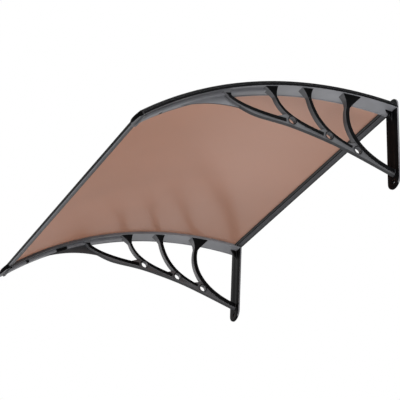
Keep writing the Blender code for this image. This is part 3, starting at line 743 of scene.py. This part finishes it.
def flange(middle, material):
    """Curved flange with a low rim along both edges of its underside."""
    rim = FLANGE_BOTTOM + RIM_HEIGHT
    edge = [(0.0, FLANGE_DEPTH), (0.0, rim - RIM_SOFT), (RIM_SOFT, rim), (RIM_WIDTH, rim)]
    edge.append((RIM_WIDTH + RIM_HEIGHT, FLANGE_BOTTOM))
    section = [(middle + HALF_WIDTH - inset, depth) for inset, depth in edge]
    section += [(middle - HALF_WIDTH + inset, depth) for inset, depth in reversed(edge)]
    front = sheet_ends()[1] + FLANGE_INTO_NOSE / ROOF_RADIUS
    return swept(section, roof_angle(POST_THICKNESS / 2, FLANGE_DEPTH), front, material)


def post(middle, holes):
    """Wall plate with round ends, a soft front edge and two screw holes."""
    outline = []
    for height, start in ((POST_HEIGHT - HALF_WIDTH, 0.0), (HALF_WIDTH, pi)):
        for turn in shares(ROUND_FACETS // 2, start, start + pi):
            outline.append((middle + HALF_WIDTH * cos(turn), height + HALF_WIDTH * sin(turn)))
    plate = loft([[(x, y, z) for x, z in outline] for y in (-POST_THICKNESS, 0.0)])
    return soften(cut(plate, holes), width=1.2, degrees=40.0, segments=3)


def wall_holes(middle):
    """Cutters of the wall screws' countersunk holes."""
    shank = WALL_HOLE_DIAMETER / 2
    head = WALL_HOLE_HEAD_DIAMETER / 2
    front = POST_THICKNESS + CUT_OVERRUN
    profile = [(0, -CUT_OVERRUN), (shank, -CUT_OVERRUN), (shank, POST_THICKNESS - head + shank)]
    profile += [(head + CUT_OVERRUN, front), (0, front)]
    out_of_wall = Matrix.Rotation(pi / 2, 4, "X")
    heights = (LOWER_WALL_HOLE_HEIGHT, POST_HEIGHT - UPPER_WALL_HOLE_BELOW_TOP)
    placings = [Matrix.Translation((middle, 0.0, height)) @ out_of_wall for height in heights]
    return [turned(profile, placing) for placing in placings]


def gusset(middle):
    """Triangular plate between the wall plate and the flange."""
    half = FIN_THICKNESS / 2
    top = roof_point(FLANGE_MIDDLE, roof_angle(GUSSET_LENGTH))
    y, z = roof_point(FLANGE_MIDDLE, roof_angle(POST_THICKNESS / 2))
    return soften(prism([(y, z), top, (y, z - GUSSET_HEIGHT)], middle - half, middle + half), width=0.8)


def bar(middle, name):
    """Curved strut with round edges."""
    points = bar_curve(name)
    sections = []
    for share in shares(BAR_STEPS):
        centre, aside = bar_frame(points, share)
        half = bar_thickness(name, share) / 2
        corners = rounded_box(middle + BAR_WEST, middle + BAR_EAST, -half, half, BAR_ROUNDING)
        sections.append([(x, centre.x + aside.x * off, centre.y + aside.y * off) for x, off in corners])
    return loft(sections)


def level_point(points, level):
    """Point nearest to a height in the upper half of a bar's centre line."""
    upper_half = [bezier(points, share) for share in shares(LEVEL_STEPS, 0.0, 0.5)]
    return min(upper_half, key=lambda point: abs(point.y - level))


def flare(middle, name):
    """Strut top that widens toward the flange."""
    front_station, back_station, depth = FLARES[name]
    points = bar_curve(name)
    top_front = roof_point(FLANGE_MIDDLE, station_angle(front_station, FLANGE_DEPTH))
    top_back = roof_point(FLANGE_MIDDLE, station_angle(back_station, FLANGE_DEPTH))
    top_level = (top_front[1] + top_back[1]) / 2
    half = bar_thickness(name, FLARE_START) / 2
    sections = []
    for share in shares(STRETCH_STEPS):
        opening = share**FLARE_CURVE
        level = top_level - depth * (1.0 - share)
        centre = level_point(points, level)
        front = mixed(centre.x - half, top_front[0], opening)
        back = mixed(centre.x + half, top_back[0], opening)
        west = middle + FLUSH_INSET + mixed(BAR_WEST, FLARE_WEST, opening)
        east = middle - FLUSH_INSET + mixed(BAR_EAST, FLARE_EAST, opening)
        front_level = level + (top_front[1] - top_level) * opening
        back_level = level + (top_back[1] - top_level) * opening
        corners = rounded_box(west, east, front, back, FLARE_ROUNDING)
        levels = [mixed(front_level, back_level, (y - front) / (back - front)) for _, y in corners]
        sections.append([(x, y, z) for (x, y), z in zip(corners, levels)])
    return loft(sections)


def at_eyes(profile, x):
    """Turned shell at each eye, from this X on."""
    return [turned(profile, along_x(x, *under_roof(*place))) for place in EYES.values()]


def eye_clearings(middle):
    """Cutters of web and bars round the eyes, larger than the eyes' holes."""
    clearing = (EYE_OUTER_DIAMETER + EYE_HOLE_DIAMETER) / 4
    profile = ((0, 0), (clearing, 0), (clearing, BRACKET_WIDTH), (0, BRACKET_WIDTH))
    return at_eyes(profile, middle - HALF_WIDTH)


def eyes(middle):
    """Eyes at the chord's joints, with round rims."""
    west = WEB_WEST - EYE_PROUD
    length = BAR_EAST + EYE_PROUD - west
    inner = EYE_HOLE_DIAMETER / 2
    outer = EYE_OUTER_DIAMETER / 2
    soft = EYE_SOFT
    near = soft * CORNER_SHARE
    profile = [(inner + soft, 0.0), (outer - soft, 0.0), (outer, soft), (outer, length - soft)]
    profile += [(outer - soft, length), (inner + soft, length), (inner + near, length - near)]
    profile += [(inner, length - soft), (inner, soft), (inner + near, near), (inner + soft, 0.0)]
    return at_eyes(profile, middle + west)


def nose(middle):
    """Rounded front end of a bracket."""
    start = sheet_ends()[1] + FIT / (ROOF_RADIUS - NOSE_DEPTH)
    rounding = NOSE_ROUNDING / ROOF_RADIUS
    sections = []
    for share in shares(NOSE_STEPS, -1.0, 1.0):
        reach = PROJECTION + NOSE_BULGE * (1.0 - share**2)
        top = roof_angle(reach) - rounding
        low = roof_angle(reach, NOSE_DEPTH) - rounding
        outline = [roof_point(0.0, angle) for angle in shares(ARC_STEPS, start, top)]
        for turn in shares(ARC_STEPS, 0.0, pi)[1:]:
            depth = NOSE_ROUNDING * (1.0 - cos(turn))
            if turn > pi / 2:
                depth = NOSE_DEPTH - NOSE_ROUNDING * (1.0 + cos(turn))
            outline.append(roof_point(depth, roof_angle(reach, depth) - rounding * (1.0 - sin(turn))))
        outline += [roof_point(NOSE_DEPTH, angle) for angle in shares(ARC_STEPS, low, start)[1:]]
        x = middle + HALF_WIDTH * share
        sections.append([(x, y, z) for y, z in outline])
    return loft(sections)


def nose_rib(middle):
    """Cross rib behind the nose."""
    front = roof_angle(RIB_DISTANCE, FLANGE_BOTTOM)
    back = roof_angle(RIB_DISTANCE - NOSE_RIB_THICKNESS, FLANGE_BOTTOM)
    outline = [roof_point(FLANGE_MIDDLE, front), roof_point(FLANGE_MIDDLE, back)]
    outline += [roof_point(NOSE_RIB_DEPTH, back), roof_point(NOSE_RIB_DEPTH, front)]
    half = HALF_WIDTH - FLUSH_INSET
    return soften(prism(outline, middle - half, middle + half), width=1.0, segments=3)


def ridge(west, east, height, rounding, stations, material):
    """Ridge of this height under the flange, between two stations."""
    front, rear = (station_angle(station, FLANGE_BOTTOM) for station in stations)
    section = rounded_box(west, east, FLANGE_MIDDLE, FLANGE_BOTTOM + height, rounding)
    return swept(section, rear, front, material)


def spine(middle, material):
    """Thick middle under the front of the flange."""
    half = SPINE_WIDTH / 2
    return ridge(middle - half, middle + half, SPINE_HEIGHT, SPINE_ROUNDING, SPINE_STATIONS, material)


def cross_rib(middle, outward, stations, material):
    """Short black rib from the spine toward the bracket's inner edge."""
    west, east = sorted((middle - outward * CROSS_RIB_REACH, middle))
    return ridge(west, east, CROSS_RIB_HEIGHT, CROSS_RIB_ROUNDING, stations, material)


def along_pin(profile, x, outward):
    """Turned shell on a pin's axis, from this X toward the awning's middle."""
    y, z = roof_point(PIN_DEPTH, roof_angle(RIB_MIDDLE_DISTANCE, PIN_DEPTH))
    return turned(profile, along_x(x, y, z, -outward))


def pin_clearing(middle, outward):
    """Cutter of the rib round the pin's hole."""
    clearing = (PIN_BOSS_DIAMETER + PIN_HEAD_DIAMETER) / 4 + FIT / 2
    end = PIN_BOSS_LENGTH - CUT_OVERRUN
    profile = ((0, -CUT_OVERRUN), (clearing, -CUT_OVERRUN), (clearing, end), (0, end))
    return along_pin(profile, middle + outward * HALF_WIDTH, outward)


def pin_boss(middle, outward):
    """Boss of the pin with its stepped hole, at the bracket's outer side."""
    boss = PIN_BOSS_DIAMETER / 2
    shaft = PIN_SHAFT_DIAMETER / 2 + FIT
    head = PIN_HEAD_DIAMETER / 2 + FIT
    depth = PIN_HEAD_HEIGHT + FIT
    end = PIN_LENGTH + FIT
    profile = [(0, end), (shaft, end), (shaft, depth), (head, depth), (head, PIN_HOLE_SOFT)]
    profile += [(head + PIN_HOLE_SOFT, 0), (boss - PIN_BOSS_SOFT, 0), (boss, PIN_BOSS_SOFT)]
    profile += [(boss, PIN_BOSS_LENGTH), (0, PIN_BOSS_LENGTH)]
    return along_pin(profile, middle + outward * (HALF_WIDTH - FLUSH_INSET), outward)


def build_bracket(side, outward, plastics):
    """One moulded fan bracket: flange, wall plate, struts, chord with three eyes, fin, spine and nose."""
    polished, satin, grained, pale, shaded, matt = plastics
    middle = outward * BRACKET_SPACING / 2

    def outside(face):
        """Whether a face looks away from the awning's middle."""
        return face.normal.x * outward > SIDEWAYS

    def upper(face):
        """Whether a face of the nose looks up or forward and up."""
        return face.normal.z > NOSE_UPPER

    holes = wall_holes(middle)
    clearings = eye_clearings(middle)
    pin_cutter = pin_clearing(middle, outward)
    bars = [cut(bar(middle, name), clearings) for name in BAR_TOPS]
    west = middle + WEB_WEST
    web = soften(cut(prism(web_outline(), west, middle + WEB_EAST), clearings), width=0.9, degrees=50.0)
    fin = soften(prism(fin_outline(), west, west + FIN_THICKNESS), width=0.8, degrees=50.0)
    flares = [flare(middle, name) for name in FLARES]
    front = [cut(nose_rib(middle), [pin_cutter]), pin_boss(middle, outward)]
    ribs = [cross_rib(middle, outward, ends, polished) for ends in CROSS_RIBS]
    groups = [
        ([gusset(middle), *ribs], (polished,)),
        ([nose(middle)], (grained, matt), upper),
        (front, (grained, polished), across),
        # The wall plate's sides take the pale copy, a painted light.
        ([post(middle, holes)], (polished, pale), across),
        ([*bars, *flares, *eyes(middle)], (grained, polished), across),
        # Web faces that don't look along X take the darker copy, a painted shade.
        ([web], (shaded, grained), across),
        # The fin's outer face takes the pale copy, a painted light, and its other faces the darker copy, a
        # painted shade.
        ([fin], (shaded, pale), outside),
        # The spine is all pale copy, a painted light.
        ([spine(middle, pale)], (pale,)),
        # The flange's satin underside carries a painted sheen that grows lighter toward the wall.
        ([flange(middle, satin)], (satin, polished), outside),
    ]
    remove([*holes, *clearings, pin_cutter])
    finished(f"bracket_{side}_moulding", groups, [f"bracket_{side}"], smooth_degrees=32.0)


# The sheet and what holds it

def build_sheet(material):
    """Curved sheet with fine lines in its underside."""
    half = BRACKET_SPACING / 2 + HALF_WIDTH - COVER_SIDE_LIP - FIT
    bottom = SHEET_DEPTH + SHEET_THICKNESS
    count = int(2 * half / LINE_PITCH)
    pitch = 2 * half / count
    section = [(-half, SHEET_DEPTH), (half, SHEET_DEPTH)]
    for k in range(count, 0, -1):
        section += [(k * pitch - half - pitch * share, bottom - depth) for share, depth in LINE_CORNERS]
    section.append((-half, bottom))
    groups = [([swept(section, *sheet_ends(), material)], (material,))]
    finished("roof_sheet_lined", groups, ["roof_sheet"], smooth_degrees=8.0)


def build_cover_strip(side, outward, material):
    """Strip that clamps the sheet on a bracket, with two grooves and a side lip."""
    low = FLANGE_DEPTH - FIT
    lip = HALF_WIDTH - COVER_SIDE_LIP
    section = [(inset - HALF_WIDTH, depth) for inset, depth in STRIP_INNER_EDGE]
    for share in (-STRIP_GROOVE_PLACE, STRIP_GROOVE_PLACE):
        section += [(HALF_WIDTH * share + x, depth) for x, depth in STRIP_GROOVE]
    section += [(HALF_WIDTH - inset, depth) for inset, depth in STRIP_OUTER_EDGE]
    section += [(HALF_WIDTH, low - COVER_LIP_SOFT), (HALF_WIDTH - COVER_LIP_SOFT, low)]
    section += [(lip, low), (lip, COVER_THICKNESS), (-HALF_WIDTH, COVER_THICKNESS)]
    section = [(outward * (BRACKET_SPACING / 2 + x), depth) for x, depth in section]
    strip = swept(section, roof_angle(POST_THICKNESS + COVER_POST_GAP), sheet_ends()[1], material)
    name = f"cover_strip_{side}"
    finished(f"{name}_grooved", [([strip], (material,))], [name], smooth_degrees=30.0)


def rail_outline(edge_angle, turn):
    """Side view of a rail and the angle of its outer face. turn is a millimetre's angle, toward the sheet."""
    inner = edge_angle - FIT * turn
    outer = inner - RAIL_WALL * turn
    upper = outer + RAIL_UPPER_LIP_LENGTH * turn
    lower = RAIL_LOWER_LIP_LENGTH * turn
    soft = RAIL_SOFT * turn
    lip_top = FLANGE_DEPTH + GASKET_THICKNESS + FIT
    lip_bottom = lip_top + RAIL_LIP
    corner_depth, corner_inset = RAIL_TOP_CORNER
    outline = [roof_point(RAIL_SOFT, outer), roof_point(corner_depth, outer + soft * corner_inset)]
    outline += roof_arc(0.0, outer + soft, upper - soft)
    outline.append(roof_point(RAIL_SOFT, upper))
    outline += roof_arc(COVER_THICKNESS, upper, inner)
    outline += roof_arc(lip_top, inner, outer + lower)
    outline += [roof_point(lip_bottom - rise, outer + lower * share) for share, rise in RAIL_LOWER_LIP]
    outline += [roof_point(lip_bottom, outer + soft), roof_point(lip_bottom - RAIL_SOFT, outer)]
    outline += [roof_point(RAIL_LINE_BELOW_TOP + below, outer + soft * inset) for below, inset in RAIL_LINE]
    return outline, outer


def gasket_outline(outer, turn):
    """Rubber strip under the sheet, with a round bead in front of the rail's lower lip."""
    lip_end = outer + RAIL_LOWER_LIP_LENGTH * turn
    start = lip_end - GASKET_INSIDE_RAIL * turn
    bead = lip_end + BEAD_GAP * turn
    end = bead + BEAD_WIDTH * turn
    outline = roof_arc(FLANGE_DEPTH, start, end)
    for around in shares(ARC_STEPS, 0.0, pi):
        swell = mixed(BEAD_SHOULDER, 1.0, sin(around))
        angle = (bead + end) / 2 + (end - bead) / 2 * cos(around)
        outline.append(roof_point(FLANGE_DEPTH + BEAD_DEPTH * swell, angle))
    return outline + roof_arc(FLANGE_DEPTH + GASKET_THICKNESS, bead, start)


def build_rubber(name, outline, replaced, rubber):
    """Rubber strip as long as the rails."""
    strip = prism(outline, *RAIL_ENDS)
    finished(name, [([strip], (rubber,))], [replaced], smooth_degrees=28.0)


def build_rail(name, edge, inward, metals, rubber):
    """One rail and its gasket, which gives the angle of the rail's outer face."""
    black_metal, grey_metal = metals
    outline, outer = rail_outline(edge, inward / ROOF_RADIUS)
    top = Vector((0, *roof_point(0.0, outer)))
    along = Vector((0, cos(outer), sin(outer)))

    def black(face):
        """Whether a face stands square to the sheet and isn't under the line of the outer face."""
        offset = face.calc_center_median() - top
        under_line = abs(offset.dot(along)) < RAIL_WALL / 3 and offset.length > RAIL_LINE_BELOW_TOP
        return abs(face.normal.dot(along)) > SQUARE_TO_SHEET and not under_line

    rail = prism(outline, *RAIL_ENDS)
    groups = [([rail], (grey_metal, black_metal), black)]
    finished(f"{name}_rail_profile", groups, [f"{name}_rail"], smooth_degrees=28.0)
    build_rubber(f"{name}_gasket_bead", gasket_outline(outer, inward / ROOF_RADIUS), f"{name}_gasket", rubber)
    return outer


def build_wall_seal(rear_face, rubber):
    """Rubber strip on the rear rail's back, with lips against the wall."""
    y, z = wall_seal_top()
    low = z - WALL_SEAL_HEIGHT
    outline = [(y + FIT, z), (y + FIT + WALL_SEAL_HEIGHT * tan(rear_face), low)]
    pitch = WALL_SEAL_HEIGHT / SEAL_LIPS
    for k in range(SEAL_LIPS):
        outline += [(lip_y, low + pitch * (k + share)) for lip_y, share in SEAL_LIP]
    outline.append((SEAL_LIP[-1][0], z))
    build_rubber("wall_seal_lips", outline, "wall_seal", rubber)


def cross_recess():
    """Cutters of a screw head's cross slot."""
    rows = [rectangle(reach, width, FIT + height) for reach, width, height in SCREW_SLOT]
    tools = [loft(rows), loft(rows)]
    tools[1].data.transform(Matrix.Rotation(pi / 2, 4, "Z"))
    return tools


def screw_profile():
    """Corners of a pan head screw, from its tip to the top of its crown."""
    shank = SCREW_SHANK_DIAMETER / 2
    head = SCREW_HEAD_DIAMETER / 2
    tip = -SCREW_TIP_DEPTH
    profile = [(0, tip), (shank / 2, tip), (shank, tip + shank)]
    profile += [(shank, FIT), (head - SCREW_HEAD_SOFT, FIT), (head, FIT + SCREW_HEAD_SOFT)]
    for turn in shares(ARC_STEPS, 0.0, pi / 2)[:-1]:
        height = FIT + mixed(SCREW_HEAD_SIDE, SCREW_HEAD_HEIGHT, sin(turn))
        profile.append((head * cos(turn) ** SCREW_CROWN_CURVE, height))
    return [*profile, (0, FIT + SCREW_HEAD_HEIGHT)]


def build_screws(material):
    """Pan head screws with a cross slot, through cover strip and sheet."""
    screw = turned(screw_profile(), Matrix(), SCREW_FACETS)
    recess = cross_recess()
    cut(screw, recess)
    numbers = range(1, len(SCREW_STATIONS) + 1)
    for side, outward in SIDES:
        middle = outward * BRACKET_SPACING / 2
        places = [roof_point(0.0, station_angle(station)) for station in SCREW_STATIONS]
        feet = bpy.data.meshes.new("screw feet")
        feet.from_pydata([(middle, *place) for place in places], [], [])
        groups = [([grown(feet, SCREW_ROW, {"Screw": screw, "Material": material})], (material,))]
        replaced = [f"cover_screw_{side}_{number}" for number in numbers]
        finished(f"cover_screws_{side}_slotted", groups, replaced, smooth_degrees=30.0)
    remove([screw, *recess])


def build_pins(material):
    """Round pin in the outer side of each nose, with a soft rim and a dimple."""
    shaft = PIN_SHAFT_DIAMETER / 2
    head = PIN_HEAD_DIAMETER / 2
    profile = [(shaft * share, depth) for share, depth in PIN_DIMPLE]
    profile += [(head - inset, depth) for inset, depth in PIN_RIM]
    profile += [(head, PIN_HEAD_HEIGHT), (shaft, PIN_HEAD_HEIGHT), (shaft, PIN_LENGTH - PIN_SOFT)]
    profile += [(shaft - PIN_SOFT, PIN_LENGTH), (0, PIN_LENGTH)]
    for side, outward in SIDES:
        pin = along_pin(profile, outward * (BRACKET_SPACING / 2 + HALF_WIDTH), outward)
        name = f"nose_pin_{side}"
        finished(f"{name}_dimpled", [([pin], (material,))], [name], smooth_degrees=30.0)


# Materials

def new_material(name):
    """Material and its object coordinates."""
    material = bpy.data.materials.new(name)
    material.use_nodes = True
    return material, add(material.node_tree, "ShaderNodeTexCoord", {})["Object"]


def painted(material, tone, roughness, values):
    """The material, with values or links at its Principled shader."""
    values = {"Base Color": tone, "Roughness": roughness, **values}
    fill(material.node_tree.nodes["Principled BSDF"], values)
    return material


def noise(place, scale, detail=4.0):
    """Noise of one number, with about this many cells in a metre."""
    values = {"Vector": place, "Scale": scale, "Detail": detail, "Roughness": 0.55}
    return add(place.id_data, "ShaderNodeTexNoise", values)["Fac"]


def streaks(place, scales, detail=2.0):
    """Noise that is drawn out where the scale of an axis is small."""
    drawn_out = add(place.id_data, "ShaderNodeMapping", {"Vector": place, "Scale": scales})
    return noise(drawn_out["Vector"], 1.0, detail)


def distance_to_wall(place):
    """Distance of a point from the wall in metres."""
    parts = add(place.id_data, "ShaderNodeSeparateXYZ", {"Vector": place})
    return add(place.id_data, "ShaderNodeMath", {0: parts["Y"], 1: -1.0}, operation="MULTIPLY")["Value"]


def ranged(value, low, high, start=0.0, end=1.0):
    """Number mapped from its start and end to low and high."""
    limits = {"From Min": start, "From Max": end, "To Min": low, "To Max": high}
    return add(value.id_data, "ShaderNodeMapRange", {"Value": value, **limits})["Result"]


def two_colours(value, first, second, start, end):
    """Colour between two, as a number goes from start to end."""
    colour = add(value.id_data, "ShaderNodeValToRGB", {"Fac": value})["Color"]
    for mark, tone, position in zip(colour.node.color_ramp.elements, (first, second), (start, end)):
        mark.position = position
        mark.color = (*tone, 1.0)
    return colour


def blended(share, first, second):
    """Colour between two colours."""
    values = {"Factor": share, "A": first, "B": second}
    return add(share.id_data, "ShaderNodeMix", values, data_type="RGBA")["Result"]


def bump(height, strength, distance=0.0002, normal=None):
    """Normal with small relief."""
    values = {"Height": height, "Strength": strength, "Distance": distance}
    if normal:
        values["Normal"] = normal
    return add(height.id_data, "ShaderNodeBump", values)["Normal"]


def edge_light(tree):
    """How much a point lies on an edge, from 0 to 1, which black_plastic uses to paint a highlight there, and
    the normal of that edge rounded.
    """
    rounded = add(tree, "ShaderNodeBevel", {"Radius": EDGE_RADIUS}, samples=EDGE_SAMPLES)["Normal"]
    flat = add(tree, "ShaderNodeNewGeometry", {})["Normal"]
    likeness = add(tree, "ShaderNodeVectorMath", {0: rounded, 1: flat}, operation="DOT_PRODUCT")["Value"]
    return ranged(likeness, 1.0, 0.0, start=0.75, end=0.98), rounded


def grey(value):
    """Slightly bluish grey."""
    return (value, value * 1.01, value * 1.09)


def black_plastic(name, greys, roughness, specular, relief, edge_highlight=0.0, sheen_greys=None):
    """Black moulded plastic with a fine grain, from one row of FINISHES, with a painted highlight on its
    edges and a painted sheen near the wall where the row gives them.
    """
    material, place = new_material(name)
    cloud = noise(place, 16.0)
    tone = two_colours(cloud, *map(grey, greys), 0.35, 0.7)
    # Lighter greys toward the wall are a painted sheen of reflected light.
    if sheen_greys:
        painted_sheen = two_colours(cloud, *map(grey, sheen_greys), 0.35, 0.7)
        tone = blended(ranged(distance_to_wall(place), 1.0, 0.0, 0.20, 0.72), tone, painted_sheen)
    normal = None
    # A lighter grey on the edges is a painted highlight.
    if edge_highlight:
        edge, normal = edge_light(material.node_tree)
        tone = blended(ranged(edge, 0.0, edge_highlight), tone, (*grey(EDGE_HIGHLIGHT_GREY), 1.0))
    grain = bump(noise(place, 800.0, 2.0), relief, normal=normal)
    values = {"Normal": grain, "Specular IOR Level": specular}
    return painted(material, tone, ranged(noise(place, 40.0), *roughness), values)


def strip_plastic():
    """Black strip plastic with faint lines from its extrusion."""
    material, place = new_material("extruded_strip_plastic")
    lines = streaks(place, (600.0, 6.0, 6.0))
    tone = two_colours(noise(place, 20.0), (0.004, 0.004, 0.0045), (0.008, 0.008, 0.0085), 0.35, 0.7)
    values = {"Normal": bump(lines, 0.08, 0.0003), "Specular IOR Level": 0.05}
    return painted(material, tone, ranged(lines, 0.30, 0.46), values)


def sheet_polycarbonate():
    """Brown polycarbonate that lets light through, with fine lines along its fall."""
    material, place = new_material("brown_polycarbonate")
    cloud = streaks(place, (3.0, 1.6, 1.6))
    front = two_colours(cloud, (0.445, 0.212, 0.132), (0.485, 0.232, 0.147), 0.35, 0.65)
    # Toward the wall the colour turns paler and pinker, a painted sheen of reflected light.
    rear = two_colours(cloud, (0.440, 0.236, 0.166), (0.480, 0.258, 0.184), 0.35, 0.65)
    distance = distance_to_wall(place)
    tone = blended(ranged(distance, 1.0, 0.0, 0.10, 0.60), front, rear)
    lines = bump(streaks(place, (900.0, 5.0, 5.0), 1.0), 0.02, 0.0004)
    values = {"Normal": lines, "Transmission Weight": 0.35, "IOR": 1.58, "Specular IOR Level": 0.25}
    return painted(material, tone, ranged(distance, 0.29, 0.55, 0.25, 0.80), values)


def anodised_aluminium(name, dark, light, metallic, specular):
    """Anodised aluminium with faint lines, from one row of METALS."""
    material, place = new_material(name)
    lines = streaks(place, (4.0, 350.0, 350.0))
    tone = two_colours(lines, grey(dark), grey(light), 0.3, 0.7)
    values = {"Normal": bump(lines, 0.05), "Metallic": metallic, "Specular IOR Level": specular}
    return painted(material, tone, ranged(lines, 0.42, 0.52), values)


def seal_rubber():
    """Matt black rubber with a dusty grain."""
    material, place = new_material("seal_rubber")
    tone = two_colours(noise(place, 60.0), (0.014, 0.014, 0.015), (0.030, 0.030, 0.031), 0.3, 0.75)
    grain = bump(noise(place, 1500.0, 2.0), 0.25)
    return painted(material, tone, ranged(noise(place, 220.0), 0.62, 0.82), {"Normal": grain})


def screw_steel():
    """Zinc plated steel with faint turning marks."""
    material, place = new_material("zinc_plated_steel")
    tone = two_colours(noise(place, 300.0), (0.40, 0.40, 0.41), (0.56, 0.56, 0.57), 0.3, 0.7)
    return painted(material, tone, ranged(noise(place, 800.0), 0.22, 0.40), {"Metallic": 1.0})


def pin_plastic():
    """Black pin plastic, a little glossier than the bracket."""
    material, place = new_material("pin_plastic")
    tone = two_colours(noise(place, 120.0), (0.007, 0.007, 0.008), (0.013, 0.013, 0.014), 0.3, 0.7)
    grain = bump(noise(place, 1400.0, 2.0), 0.1)
    return painted(material, tone, ranged(noise(place, 400.0), 0.30, 0.42), {"Normal": grain})


# Stage

def build_world():
    """White surroundings for camera, gloss and transmission, and a softer light for the rest."""
    world = bpy.data.worlds.new("studio")
    world.use_nodes = True
    tree = world.node_tree
    path = add(tree, "ShaderNodeLightPath", {})
    seen = path["Is Camera Ray"]
    for name in ("Is Glossy Ray", "Is Transmission Ray"):
        seen = add(tree, "ShaderNodeMath", {0: seen, 1: path[name]}, operation="MAXIMUM")["Value"]
    fill(tree.nodes["Background"], {"Strength": ranged(seen, SOFT_LIGHT, 1.0), "Color": WHITE})
    bpy.context.scene.world = world


def area_light(name, place, aim, size, energy):
    """Soft square lamp that points at a place."""
    data = bpy.data.lights.new(name, "AREA")
    data.size = size
    data.energy = energy
    lamp = linked(name, data)
    lamp.location = place
    lamp.rotation_euler = (Vector(aim) - Vector(place)).to_track_quat("-Z", "Y").to_euler()
    lamp.visible_camera = False


def build_floor():
    """Plain pale floor far below the awning."""
    mesh = bpy.data.meshes.new("floor")
    mesh.from_pydata(rectangle(FLOOR_REACH, FLOOR_REACH, FLOOR_HEIGHT), [], [(0, 1, 2, 3)])
    material = new_material("pale_floor")[0]
    seen = add(material.node_tree, "ShaderNodeLightPath", {})["Is Camera Ray"]
    glow = {"Emission Color": WHITE, "Emission Strength": ranged(seen, 0.0, FLOOR_GLOW)}
    mesh.materials.append(painted(material, (*[FLOOR_GREY] * 3, 1.0), FLOOR_ROUGHNESS, glow))
    linked("floor", mesh)


def build_camera():
    """Camera at the photograph's viewing angle."""
    data = bpy.data.cameras.new("camera")
    data.sensor_width = SENSOR_WIDTH
    data.lens = LENS_PIXELS * SENSOR_WIDTH / PICTURE_WIDTH
    data.clip_end = CAMERA_REACH
    camera = linked("camera", data)
    heading = Matrix.Rotation(CAMERA_HEADING, 4, "Z")
    pitch = Matrix.Rotation(pi / 2 + CAMERA_PITCH, 4, "X")
    roll = Matrix.Rotation(CAMERA_ROLL, 4, "Z")
    camera.matrix_world = Matrix.Translation(CAMERA_PLACE) @ heading @ pitch @ roll
    bpy.context.scene.camera = camera


def build_stage():
    """World, lamps, floor and camera."""
    bpy.context.scene.view_settings.view_transform = "Standard"
    build_world()
    for name, values in LAMPS.items():
        area_light(name, *values)
    build_floor()
    build_camera()


def build_awning():
    """All pieces of the awning."""
    plastics = [black_plastic(f"{finish}_black_plastic", *values) for finish, values in FINISHES.items()]
    strip = strip_plastic()
    for side, outward in SIDES:
        build_bracket(side, outward, plastics)
        build_cover_strip(side, outward, strip)
    build_sheet(sheet_polycarbonate())
    metals = [anodised_aluminium(f"{tone}_anodised_aluminium", *values) for tone, values in METALS.items()]
    rubber = seal_rubber()
    rear_edge, front_edge = sheet_ends()
    rear_face = build_rail("rear", rear_edge, 1, metals, rubber)
    build_wall_seal(rear_face, rubber)
    build_rail("front", front_edge, -1, metals, rubber)
    build_screws(screw_steel())
    build_pins(pin_plastic())


build_awning()
build_stage()
